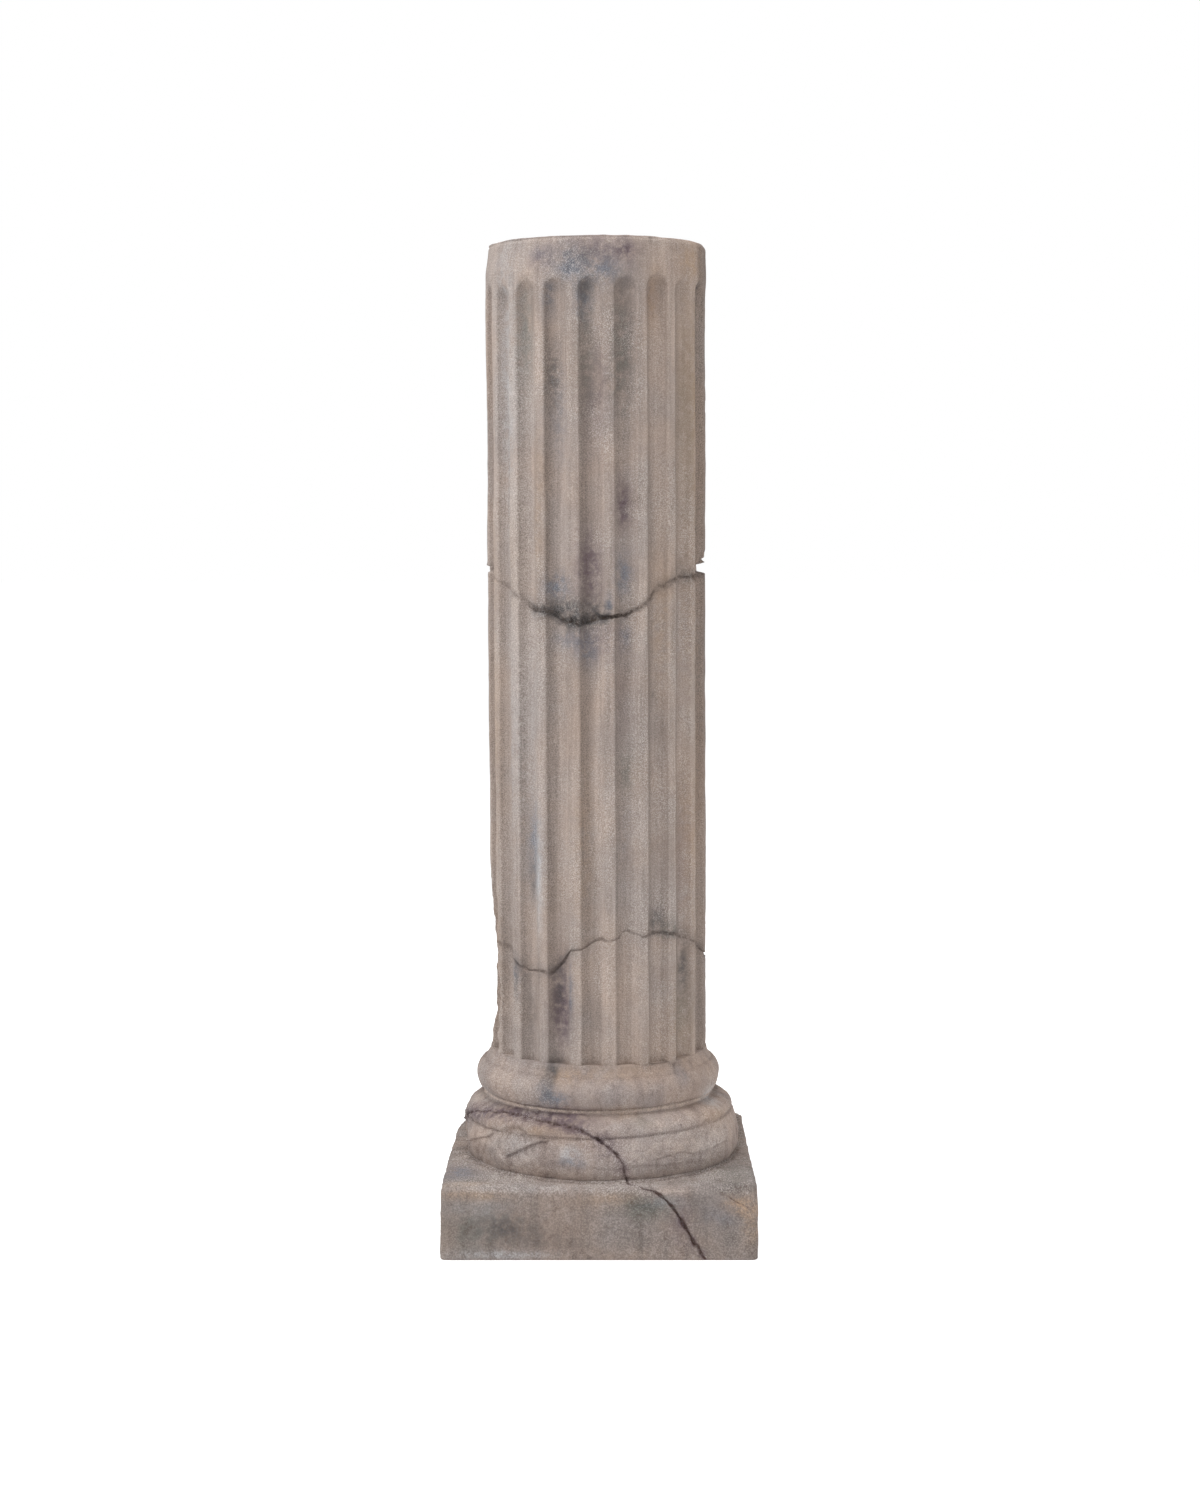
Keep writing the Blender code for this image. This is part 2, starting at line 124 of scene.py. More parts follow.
class StoneNoise:
    """Smooth random relief that is fixed in space, so that neighbouring pieces share it."""

    cells: ClassVar[int] = 48
    octave_shift: ClassVar[float] = 7.31

    def __init__(self, seed: int) -> None:
        """Fills the lattice from a seed."""
        self.lattice = np.random.default_rng(seed).uniform(-1.0, 1.0, (self.cells,) * 3)

    def single(self, at: np.ndarray) -> np.ndarray:
        """Works out one layer of it.

        Args:
            at: the points, in lattice cells.

        Returns:
            The relief at each point, from -1 to 1.
        """
        cell = np.floor(at).astype(int)
        part = at - cell
        part = part * part * (3.0 - 2.0 * part)
        total = np.zeros(at.shape[:-1])
        for corner in np.ndindex(2, 2, 2):
            weight = np.prod(np.where(corner, part, 1.0 - part), axis=-1)
            i, j, k = np.moveaxis((cell + corner) % self.cells, -1, 0)
            total += weight * self.lattice[i, j, k]
        return total

    def waves(self, points: np.ndarray, size: float, octaves: int = 1) -> np.ndarray:
        """Adds up the layers, from the largest waves down.

        Args:
            points: where to read it, with x, y and z along the last axis.
            size: metres across the largest waves.
            octaves: how many layers there are, each half the size and strength of the one before.

        Returns:
            The relief at each point, from about -1 to 1.
        """
        total = np.zeros(points.shape[:-1])
        for octave in range(octaves):
            shift = self.octave_shift * (octave + 1)
            total += self.single(points / size * 2.0**octave + shift) / 2.0**octave
        return total


NOISE = StoneNoise(seed=11)


@dataclass(frozen=True)
class Relief:
    """Random relief of one kind.

    Attributes:
        height: how high it stands, or what it adds at most to a plain number.
        size: metres across its largest waves.
        octaves: how many layers it has, each half the size and strength of the one before.
    """

    height: float
    size: float
    octaves: int = 1

    def at(self, points: np.ndarray) -> np.ndarray:
        """Returns the relief at each point."""
        return self.height * NOISE.waves(points, self.size, self.octaves)


@dataclass(frozen=True)
class Pits:
    """The small air holes that casting left.

    Attributes:
        depth: how deep they are.
        sparse: how few there are, from 0.6 for many to 1.0 for hardly any.
    """

    depth: float
    sparse: float
    size: ClassVar[float] = 0.006
    shift: ClassVar[float] = 0.5
    full: ClassVar[float] = 1.2

    def at(self, points: np.ndarray) -> np.ndarray:
        """Returns how deep the skin is pitted at each point."""
        waves = NOISE.waves(points + self.shift, self.size, 2)
        return smoothstep(waves, self.sparse, self.full) * self.depth


class Pigment(Enum):
    """The stains' colours. Each value is the name of the mask that carries it."""

    BLUE_GREY = "blue_grey"
    PURPLE = "purple"
    OCHRE = "ochre"
    GREEN_GREY = "green_grey"
    SOOT = "soot"
    BLOOM = "bloom"
    CREAM = "cream"


@dataclass(frozen=True)
class Stain:
    """A soft-edged blot of one pigment on the stone.

    Attributes:
        pigment: its colour.
        centre: its middle, in metres.
        facing: the angle that the surface under it faces.
        across: half its width along the surface.
        up: half its height.
        through: how far it reaches in the direction that the surface faces.
        strength: from 0 to 1.
    """

    pigment: Pigment
    centre: Place
    facing: float
    across: float
    up: float
    through: float
    strength: float

    def mask(self, points: np.ndarray) -> np.ndarray:
        """Works out how strongly the blot covers the stone.

        Args:
            points: the stone's points.

        Returns:
            The cover at each point, from 0 to 1.
        """
        turn = math.radians(self.facing)
        offset = points - np.array(self.centre)
        along = offset[..., 0] * math.cos(turn) + offset[..., 1] * math.sin(turn)
        outward = offset[..., 0] * math.sin(turn) - offset[..., 1] * math.cos(turn)
        spread = (along / self.across) ** 2 + (offset[..., 2] / self.up) ** 2
        return self.strength * np.exp(-spread - (outward / self.through) ** 2)


def round_stain(
    pigment: Pigment, angle: float, height: float, across: float, up: float, strength: float
) -> Stain:
    """Returns a stain on the shaft or the mouldings."""
    centre = tuple(around(angle, STAIN_RADIUS, height))
    return Stain(pigment, centre, angle, across, up, through=0.05, strength=strength)


def front_stain(
    pigment: Pigment, x: float, z: float, across: float, up: float, strength: float
) -> Stain:
    """Returns a stain on the plinth's front."""
    centre = (x, COLUMN_BOX[0][1], z)
    return Stain(pigment, centre, 0.0, across, up, through=0.02, strength=strength)


def ledge_stain(
    pigment: Pigment, x: float, y: float, across: float, deep: float, strength: float
) -> Stain:
    """Returns a stain on the plinth's top."""
    centre = (x, y, PLINTH_HEIGHT)
    return Stain(pigment, centre, 0.0, across, up=0.01, through=deep, strength=strength)


# For each stain on the shaft or the mouldings: angle, height, half its width, half its height, strength.
ROUND_STAINS: dict[Pigment, Rows] = {
    Pigment.BLUE_GREY: [
        (-14, 1.024, 0.017, 0.016, 0.95), (2, 1.02, 0.022, 0.018, 0.7), (-30, 1.034, 0.012, 0.01, 0.45),
        (-27, 0.992, 0.006, 0.018, 0.6), (-8, 0.984, 0.008, 0.02, 0.8), (-22, 0.87, 0.01, 0.06, 0.35),
        (13, 0.706, 0.01, 0.022, 0.7), (-23, 0.694, 0.016, 0.014, 0.85), (5, 0.676, 0.004, 0.009, 0.85),
        (-6, 0.634, 0.01, 0.018, 0.85), (-16, 0.64, 0.02, 0.01, 0.5), (14, 0.644, 0.007, 0.014, 0.65),
        (14, 0.44, 0.01, 0.06, 0.18), (-37, 0.424, 0.01, 0.04, 0.75), (-19, 0.16, 0.012, 0.008, 0.8),
        (-15, 0.274, 0.003, 0.026, 0.8), (-51, 0.285, 0.012, 0.014, 0.6), (-62, 1.03, 0.03, 0.022, 0.1),
        (-25, 0.168, 0.01, 0.02, 0.85), (44, 0.182, 0.01, 0.012, 0.6), (-11, 0.098, 0.016, 0.008, 0.8),
        (150, 0.86, 0.03, 0.06, 0.6), (175, 0.33, 0.03, 0.03, 0.65),
    ],
    Pigment.PURPLE: [
        (-30, 1.03, 0.016, 0.012, 0.4), (14, 1.036, 0.01, 0.009, 0.85), (0, 1.04, 0.034, 0.016, 0.5),
        (29, 0.99, 0.009, 0.018, 0.4), (-5, 0.9, 0.01, 0.06, 0.35), (13, 0.94, 0.014, 0.08, 0.45),
        (13, 0.779, 0.009, 0.024, 0.9), (-5, 0.712, 0.013, 0.036, 0.85), (2, 0.64, 0.022, 0.016, 0.45),
        (12, 0.575, 0.012, 0.05, 0.22), (2, 0.9, 0.012, 0.06, 0.3), (52, 0.4, 0.008, 0.06, 0.4),
        (-21, 0.262, 0.01, 0.04, 1.0), (-20, 0.238, 0.009, 0.02, 0.5), (60, 0.62, 0.024, 0.22, 0.28),
        (56, 1.026, 0.03, 0.02, 0.28), (48, 0.23, 0.026, 0.05, 0.14), (-15, 0.142, 0.02, 0.01, 1.0),
        (-30, 0.141, 0.034, 0.008, 0.75), (0, 0.124, 0.014, 0.012, 0.75), (-70, 0.128, 0.03, 0.008, 0.65),
        (8, 0.106, 0.008, 0.014, 0.6), (195, 0.72, 0.036, 0.034, 0.65), (170, 0.13, 0.05, 0.02, 0.55),
    ],
    Pigment.OCHRE: [
        (30, 0.988, 0.009, 0.034, 0.5), (-50, 0.73, 0.01, 0.09, 0.55), (-33, 0.77, 0.01, 0.08, 0.4),
        (-70, 0.56, 0.014, 0.16, 0.45), (-52, 0.93, 0.012, 0.06, 0.55), (60, 0.89, 0.02, 0.11, 0.6),
        (36, 0.66, 0.012, 0.08, 0.4), (62, 0.56, 0.026, 0.26, 0.55), (58, 1.03, 0.03, 0.02, 0.6),
        (6, 0.187, 0.08, 0.008, 0.35), (48, 0.23, 0.026, 0.05, 0.4), (-8, 0.42, 0.01, 0.09, 0.35),
        (-74, 0.3, 0.02, 0.08, 0.45), (-20, 0.182, 0.02, 0.008, 0.5), (-28, 0.128, 0.026, 0.007, 0.55),
        (60, 0.132, 0.02, 0.007, 0.8), (12, 0.146, 0.018, 0.006, 0.55), (40, 0.108, 0.03, 0.008, 0.4),
        (130, 0.56, 0.024, 0.15, 0.5), (240, 0.9, 0.024, 0.09, 0.5),
    ],
    Pigment.GREEN_GREY: [
        (-42, 0.95, 0.009, 0.05, 0.7), (12, 0.93, 0.014, 0.07, 0.55), (-7, 0.93, 0.01, 0.06, 0.4),
        (15, 0.505, 0.01, 0.022, 0.5), (52, 0.24, 0.016, 0.04, 0.35), (55, 0.85, 0.014, 0.13, 0.3),
        (42, 0.336, 0.012, 0.01, 0.6), (20, 0.137, 0.012, 0.005, 0.6), (210, 0.47, 0.026, 0.07, 0.6),
    ],
    Pigment.SOOT: [
        (-10, 1.03, 0.022, 0.012, 0.35), (-8, 1.0, 0.008, 0.01, 0.4), (68, 1.004, 0.006, 0.008, 0.85),
        (-25, 0.91, 0.008, 0.034, 0.6), (-16, 0.672, 0.024, 0.01, 0.8), (-2, 0.668, 0.014, 0.012, 0.55),
        (31, 0.577, 0.0025, 0.008, 0.6), (-39, 0.25, 0.007, 0.036, 0.38), (-38, 0.39, 0.005, 0.02, 0.5),
        (33, 0.346, 0.008, 0.012, 0.7), (53, 0.288, 0.007, 0.026, 0.7), (-22, 0.272, 0.007, 0.026, 0.45),
        (-25, 0.176, 0.01, 0.024, 0.42), (-41, 0.0985, 0.0035, 0.0045, 0.85),
        (-48, 0.268, 0.006, 0.03, 0.4), (4, 0.19, 0.08, 0.007, 0.12), (-24, 0.188, 0.006, 0.012, 0.55),
        (-88, 0.116, 0.012, 0.008, 0.8), (115, 0.69, 0.03, 0.02, 0.5),
    ],
    Pigment.BLOOM: [
        (-56, 0.93, 0.016, 0.12, 0.4), (-50, 0.85, 0.022, 0.16, 0.3), (-46, 0.56, 0.022, 0.12, 0.32),
        (60, 0.56, 0.016, 0.08, 0.22), (50, 0.106, 0.03, 0.012, 0.5), (-33, 0.395, 0.006, 0.06, 0.6),
        (-12, 0.108, 0.012, 0.008, 0.6), (66, 0.15, 0.014, 0.012, 0.8), (-40, 0.108, 0.02, 0.012, 0.5),
    ],
    # Three cream rows are painted light: those at heights 0.083 and 0.084 lift the shade at the lower
    # torus's foot, and the one at 48 degrees and 0.11 lifts the shaded, downward-facing right side of the
    # lower torus.
    Pigment.CREAM: [
        (-72, 0.7, 0.016, 0.3, 0.5), (-44, 0.7, 0.01, 0.2, 0.35), (48, 0.11, 0.05, 0.018, 0.6),
        (15, 0.108, 0.024, 0.012, 0.4), (-52, 0.104, 0.034, 0.014, 0.5), (30, 0.136, 0.04, 0.008, 0.4),
        (-80, 0.142, 0.024, 0.008, 0.5), (66, 0.158, 0.02, 0.012, 0.35), (-46, 0.172, 0.034, 0.008, 0.35),
        (-34, 0.084, 0.06, 0.008, 0.55), (22, 0.083, 0.05, 0.007, 0.45),
    ],
}

# For each stain on the plinth's front: x, z, half its width, half its height, strength.
FRONT_STAINS: dict[Pigment, Rows] = {
    Pigment.BLUE_GREY: [
        (0.13, 0.052, 0.02, 0.012, 0.55),
    ],
    Pigment.PURPLE: [
        (0.085, 0.04, 0.012, 0.03, 0.45),
    ],
    Pigment.OCHRE: [
        (-0.128, 0.069, 0.034, 0.006, 0.6), (0.148, 0.058, 0.022, 0.01, 0.75),
        (0.158, 0.036, 0.01, 0.016, 0.6), (0.02, 0.066, 0.03, 0.008, 0.4),
    ],
    Pigment.GREEN_GREY: [
        (-0.13, 0.03, 0.03, 0.024, 0.45), (0.05, 0.056, 0.024, 0.012, 0.8),
    ],
    Pigment.SOOT: [
        (-0.098, 0.036, 0.03, 0.016, 0.55), (0.052, 0.06, 0.022, 0.009, 0.4),
        (-0.06, 0.02, 0.04, 0.01, 0.22), (0.125, 0.03, 0.045, 0.03, 0.12),
    ],
    Pigment.BLOOM: [
        (0.07, 0.062, 0.016, 0.006, 0.22), (-0.12, 0.056, 0.03, 0.01, 0.15),
        (-0.1, 0.006, 0.05, 0.005, 0.35), (-0.06, 0.076, 0.11, 0.005, 0.2),
    ],
    Pigment.CREAM: [
        (0.075, 0.073, 0.024, 0.004, 0.35),
    ],
}

# For each stain on the plinth's top: x, y, half its width, half its depth, strength.
LEDGE_STAINS: dict[Pigment, Rows] = {
    Pigment.BLUE_GREY: [
        (-0.146, -0.1, 0.02, 0.03, 0.65),
    ],
    Pigment.OCHRE: [
        (-0.14, -0.15, 0.03, 0.012, 0.45),
    ],
    Pigment.GREEN_GREY: [
        (0.14, -0.11, 0.022, 0.04, 0.4),
    ],
    Pigment.SOOT: [
        (0.146, -0.152, 0.012, 0.01, 0.4),
    ],
}

STAINS = [
    make(pigment, *row)
    for make, table in (
        (round_stain, ROUND_STAINS), (front_stain, FRONT_STAINS), (ledge_stain, LEDGE_STAINS)
    )
    for pigment, rows in table.items()
    for row in rows
]


@dataclass
class Skin:
    """A closed skin of quads: rows of points, each a loop round the upright axis, bottom to top.

    Attributes:
        points: the points, as rows by columns by 3.
        masks: values from 0 to 1 at every point, by the name that the finish reads.
    """

    points: np.ndarray
    masks: dict[str, np.ndarray] = field(default_factory=dict)

    # How hollow the skin is where the wash and the painted shade start to gather, and where they are full.
    hollow_shade_range: ClassVar[tuple[float, float]] = (0.00002, 0.00025)

    def normals(self) -> np.ndarray:
        """Works out which way the skin faces.

        Returns:
            The outward direction at every point.
        """
        along = np.gradient(self.points, axis=0)
        across = np.roll(self.points, -1, axis=1) - np.roll(self.points, 1, axis=1)
        normal = np.cross(across, along)
        return normal / np.maximum(np.linalg.norm(normal, axis=-1, keepdims=True), 1e-12)

    def push(self, distance: np.ndarray) -> None:
        """Moves every point outwards by its own distance, or inwards where that is negative."""
        self.points = self.points + self.normals() * distance[..., None]

    def hollows(self, columns: int) -> np.ndarray:
        """Works out how hollow the skin is.

        Args:
            columns: how many columns away on each side it is compared with.

        Returns:
            Metres that the neighbours stand outside the point, negative on a ridge.
        """
        sides = np.roll(self.points, columns, axis=1) + np.roll(self.points, -columns, axis=1)
        return ((sides / 2.0 - self.points) * self.normals()).sum(axis=-1)

    def hollow_shade_and_wash(self, columns: int) -> np.ndarray:
        """Returns from 0 to 1 how much of the wash and the painted shade each point's hollow would hold."""
        return smoothstep(self.hollows(columns), *self.hollow_shade_range)

    def stain(self, stains: list[Stain]) -> None:
        """Adds a mask for each pigment.

        Args:
            stains: the stains that the masks are made of.
        """
        for pigment in Pigment:
            bare = 1.0 - self.masks.get(pigment.value, np.zeros(self.points.shape[:-1]))
            for stain in stains:
                if stain.pigment is pigment:
                    bare *= 1.0 - stain.mask(self.points)
            self.masks[pigment.value] = 1.0 - bare

    def piece(self, name: str) -> bpy.types.Object:
        """Makes the mesh object, with both ends closed and every mask as an attribute.

        Args:
            name: the object's name.

        Returns:
            The object, shaded smooth.
        """
        rows, columns = self.points.shape[:2]
        ends = np.array([self.points[0].mean(axis=0), self.points[-1].mean(axis=0)])
        places = np.concatenate([self.points.reshape(-1, 3), ends])
        index = np.arange(rows * columns).reshape(rows, columns)
        following = np.roll(index, -1, axis=1)
        quads = np.stack([index[:-1], following[:-1], following[1:], index[1:]], axis=-1)
        low, high = rows * columns, rows * columns + 1
        fans = [(following[0, i], index[0, i], low) for i in range(columns)]
        fans += [(index[-1, i], following[-1, i], high) for i in range(columns)]
        mesh = bpy.data.meshes.new(name)
        mesh.from_pydata(places.tolist(), [], quads.reshape(-1, 4).tolist() + fans)
        for mask, values in self.masks.items():
            layer = mesh.attributes.new(mask, "FLOAT", "POINT")
            closed = np.concatenate([values.ravel(), [values[0].mean(), values[-1].mean()]])
            layer.data.foreach_set("value", closed.astype(np.float32))
        mesh.shade_smooth()
        mesh.validate()
        return placed(name, mesh)


class RingStop(NamedTuple):
    """A point of a crack that runs round the shaft."""

    angle: float
    height: float
    above: float  # how far the mouth reaches above the crack's line
    below: float
    depth: float
    dark: float  # how dark the grime in it is, from 0 to 1
    smear: float  # how strongly the stone beside it is sooted


@dataclass(frozen=True)
class RingCrack:
    """A crack that runs right round the shaft.

    Attributes:
        stops: the points that it passes, in order of angle over one turn.
        waver: metres that its line strays between them.
        soot_above: how far the soot beside it reaches up.
        soot_below: how far it reaches down.
    """

    stops: list[RingStop]
    waver: float
    soot_above: float = 0.01
    soot_below: float = 0.008

    gauge: ClassVar[float] = 0.12  # the radius that its strays are read at
    bends: ClassVar[Relief] = Relief(1.0, 0.012, 2)
    kinks: ClassVar[Relief] = Relief(0.45, 0.0045)
    ragged: ClassVar[Relief] = Relief(0.7, 0.006, 2)
    narrowest: ClassVar[float] = 0.3  # share of its width that is left where its lips close in

    @classmethod
    def through(cls, rows: Rows, waver: float) -> "RingCrack":
        """Returns the crack whose stops are the rows."""
        return cls([RingStop(*row) for row in rows], waver)

    def read(self, angle: np.ndarray, what: str) -> np.ndarray:
        """Returns one of the stops' values at each angle."""
        angles = [stop.angle for stop in self.stops]
        return np.interp(angle, angles, [getattr(stop, what) for stop in self.stops], period=360.0)

    def height_at(self, angle: np.ndarray) -> np.ndarray:
        """Works out the level of the crack's line.

        Args:
            angle: the angles to read it at.

        Returns:
            The line's height at each angle.
        """
        height = self.read(angle, "height")
        place = around(angle, self.gauge, height)
        return height + self.waver * (self.bends.at(place) + self.kinks.at(place))

    def opening(self, angle: np.ndarray, height: np.ndarray) -> np.ndarray:
        """Works out how far inside the mouth each point is.

        Args:
            angle: the points' angles.
            height: the points' heights.

        Returns:
            1 on the crack's line, and 0 at its lips and beyond.
        """
        offset = height - self.height_at(angle)
        reach = np.where(offset > 0, self.read(angle, "above"), self.read(angle, "below"))
        ragged = 1.0 + self.ragged.at(around(angle, self.gauge, height))
        reach = reach * np.maximum(ragged, self.narrowest)
        return np.clip(1.0 - np.abs(offset) / reach, 0.0, 1.0)

    def nearness(self, angle: np.ndarray, height: np.ndarray, spread: float) -> np.ndarray:
        """Returns 1 on the crack's line, fading softly over a distance above and below it."""
        return bell(height, self.height_at(angle), spread)

    def soot(self, angle: np.ndarray, height: np.ndarray) -> np.ndarray:
        """Works out how sooted the stone beside the crack is.

        Args:
            angle: the points' angles.
            height: the points' heights.

        Returns:
            The soot at each point, from 0 to 1.
        """
        offset = height - self.height_at(angle)
        spread = np.where(offset > 0, self.soot_above, self.soot_below)
        return self.read(angle, "smear") * bell(offset, 0.0, spread)


class PathStop(NamedTuple):
    """A point of a crack that wanders over a surface."""

    x: float
    y: float
    z: float
    reach: float  # half the mouth's width
    depth: float


@dataclass(frozen=True)
class PathCrack:
    """A crack along a line in space.

    Attributes:
        stops: the points that it passes.
    """

    stops: list[PathStop]

    stray: ClassVar[Relief] = Relief(0.0009, 0.009, 2)
    stray_shifts: ClassVar[Place] = (0.0, 3.1, 5.7)  # so that x, y and z stray apart
    ragged: ClassVar[Relief] = Relief(0.75, 0.006, 3)
    mean_width: ClassVar[float] = 0.9
    narrowest: ClassVar[float] = 0.25

    @classmethod
    def through(cls, *rows: tuple[float, ...]) -> "PathCrack":
        """Returns the crack whose stops are the rows."""
        return cls([PathStop(*row) for row in rows])

    def measure(self, points: np.ndarray) -> tuple[np.ndarray, np.ndarray]:
        """Works out the opening and the depth of the crack.

        Args:
            points: where to measure, with x, y and z along the last axis.

        Returns:
            The opening, 1 on the crack's line and 0 from its lips on, and the depth there.
        """
        strays = [self.stray.at(points + shift) for shift in self.stray_shifts]
        points = points + np.stack(strays, axis=-1)
        nearest = np.full(points.shape[:-1], 1.0)
        reach = np.full(points.shape[:-1], 1e-3)
        depth = np.zeros(points.shape[:-1])
        for start, end in zip(self.stops, self.stops[1:]):
            first, last = np.array(start[:3]), np.array(end[:3])
            run = last - first
            share = np.clip(((points - first) @ run) / (run @ run), 0.0, 1.0)
            away = np.linalg.norm(points - first - share[..., None] * run, axis=-1)
            closer = away < nearest
            nearest = np.where(closer, away, nearest)
            reach = np.where(closer, start.reach + share * (end.reach - start.reach), reach)
            depth = np.where(closer, start.depth + share * (end.depth - start.depth), depth)
        ragged = np.maximum(self.mean_width + self.ragged.at(points), self.narrowest)
        return np.clip(1.0 - nearest / (reach * ragged), 0.0, 1.0), depth

    def nearness(self, points: np.ndarray, spread: float) -> np.ndarray:
        """Works out how near the crack each point is.

        Args:
            points: where to measure.
            spread: the distance that it fades over.

        Returns:
            1 on the crack's line, fading softly beside it.
        """
        wide = [stop._replace(reach=3 * spread) for stop in self.stops]
        opening, _ = PathCrack(wide).measure(points)
        return bell(opening, 1.0, 1.0 / 3.0)


@dataclass(frozen=True)
class Scar:
    """A flat place where a flake broke off.

    Attributes:
        centre: a point of its plane.
        outward: the way that the plane faces.
        reach: how far from the centre it is felt.
        rough: metres of roughness left on it.
        softness: metres over which its rim is rounded.
    """

    centre: Place
    outward: Place
    reach: float
    rough: float = 0.0004
    softness: float = 0.0008

    grit: ClassVar[float] = 0.007  # metres across the roughness
    fade: ClassVar[float] = 0.85  # share of the reach at which it starts to fade

    @classmethod
    def through(cls, first: Place, second: Place, third: Place, reach: float, rough: float) -> "Scar":
        """Returns the scar whose plane holds three points, which turn left seen from outside."""
        a, b, c = (np.array(point) for point in (first, second, third))
        return cls(tuple((a + b + c) / 3), tuple(np.cross(b - a, c - a)), reach, rough)

    def cut(self, points: np.ndarray) -> tuple[np.ndarray, np.ndarray]:
        """Brings the points outside the plane back to it.

        Args:
            points: the surface's points.

        Returns:
            The new points, and how far each one moved.
        """
        facing = np.array(self.outward) / np.linalg.norm(self.outward)
        offset = points - np.array(self.centre)
        near = 1.0 - smoothstep(np.linalg.norm(offset, axis=-1), self.fade * self.reach, self.reach)
        rough = Relief(self.rough, self.grit, 2).at(points)
        excess = soft_positive(offset @ facing + rough, self.softness) * near
        return points - excess[..., None] * facing, excess


@dataclass(frozen=True)
class Lump:
    """A small crumb that stands out of the surface.

    Attributes:
        centre: its middle.
        reach: how far from there it is felt.
        height: how far it stands out.
    """

    centre: Place
    reach: float
    height: float

    uneven: ClassVar[Relief] = Relief(0.6, 0.005)

    def rise(self, points: np.ndarray) -> np.ndarray:
        """Returns how far each point is raised."""
        away = np.linalg.norm(points - np.array(self.centre), axis=-1) / self.reach
        return self.height * np.exp(-away * away) * (1.0 + self.uneven.at(points))


def rows_between(
    start: np.ndarray, end: np.ndarray, count: int, bunch: float = 1.0
) -> list[np.ndarray]:
    """Spaces rows from start up to, but without, end.

    Args:
        start: the first row's values.
        end: the values that the rows lead to.
        count: how many rows.
        bunch: above 1, the rows lie closer together near the start.

    Returns:
        The rows.
    """
    return [start + (end - start) * (step / count) ** bunch for step in range(count)]


# For each stop of the two cracks: angle, height, reach above, reach below, depth, dark, smear.
MIDDLE_CRACK = RingCrack.through(
    [
        (-96, 0.714, 0.004, 0.004, 0.0044, 0.5, 0.15), (-80, 0.7105, 0.0034, 0.0034, 0.0044, 0.55, 0.15),
        (-72, 0.7053, 0.003, 0.003, 0.0016, 0.35, 0.1), (-65, 0.6993, 0.0034, 0.0036, 0.0016, 0.3, 0.05),
        (-59, 0.6948, 0.0046, 0.0046, 0.002, 0.38, 0.1), (-52, 0.6893, 0.0048, 0.0048, 0.002, 0.34, 0.15),
        (-46, 0.6822, 0.0052, 0.0048, 0.002, 0.38, 0.25), (-42, 0.6772, 0.005, 0.005, 0.002, 0.36, 0.35),
        (-38, 0.6711, 0.005, 0.0046, 0.0034, 0.62, 0.6), (-32, 0.6703, 0.005, 0.0056, 0.0036, 0.66, 0.62),
        (-27, 0.67, 0.0046, 0.005, 0.003, 0.5, 0.6), (-22, 0.6646, 0.0075, 0.0066, 0.0036, 0.72, 0.85),
        (-16, 0.6585, 0.0095, 0.0066, 0.0038, 0.78, 0.95), (-9, 0.6565, 0.0095, 0.006, 0.0038, 0.78, 0.95),
        (-3, 0.6587, 0.008, 0.0052, 0.0038, 0.78, 0.85), (3, 0.6629, 0.004, 0.0036, 0.004, 0.86, 0.65),
        (7, 0.6641, 0.003, 0.003, 0.0042, 0.92, 0.5), (15, 0.6661, 0.0024, 0.0024, 0.004, 0.92, 0.35),
        (20, 0.6694, 0.003, 0.003, 0.0026, 0.62, 0.25), (23, 0.6729, 0.0044, 0.0048, 0.0026, 0.58, 0.2),
        (27, 0.679, 0.006, 0.0066, 0.0026, 0.58, 0.15), (32, 0.6859, 0.0064, 0.0066, 0.0026, 0.58, 0.15),
        (35, 0.693, 0.0056, 0.006, 0.0026, 0.52, 0.2), (41, 0.6975, 0.0056, 0.006, 0.0026, 0.58, 0.25),
        (46, 0.7022, 0.0052, 0.0052, 0.0026, 0.6, 0.4), (53, 0.7035, 0.005, 0.0048, 0.0026, 0.62, 0.45),
        (61, 0.704, 0.005, 0.0048, 0.0026, 0.62, 0.45), (70, 0.707, 0.0056, 0.0046, 0.0046, 0.5, 0.25),
        (75, 0.7115, 0.0135, 0.011, 0.0058, 0.3, 0.15), (100, 0.7125, 0.0135, 0.011, 0.006, 0.3, 0.15),
        (106, 0.716, 0.006, 0.005, 0.005, 0.5, 0.25), (112, 0.721, 0.005, 0.0045, 0.0044, 0.5, 0.25),
        (122, 0.733, 0.004, 0.004, 0.004, 0.45, 0.15), (135, 0.739, 0.004, 0.004, 0.0044, 0.5, 0.2),
        (152, 0.734, 0.005, 0.005, 0.0046, 0.6, 0.4), (163, 0.746, 0.004, 0.004, 0.004, 0.45, 0.2),
        (172, 0.749, 0.0056, 0.005, 0.005, 0.65, 0.5), (190, 0.742, 0.004, 0.004, 0.0044, 0.55, 0.3),
        (201, 0.751, 0.0036, 0.0036, 0.004, 0.5, 0.2), (214, 0.751, 0.004, 0.004, 0.004, 0.5, 0.2),
        (225, 0.738, 0.0036, 0.0036, 0.004, 0.45, 0.15), (236, 0.729, 0.0045, 0.0045, 0.0044, 0.5, 0.25),
        (255, 0.722, 0.004, 0.004, 0.004, 0.45, 0.15),
    ],
    waver=0.0013,
)

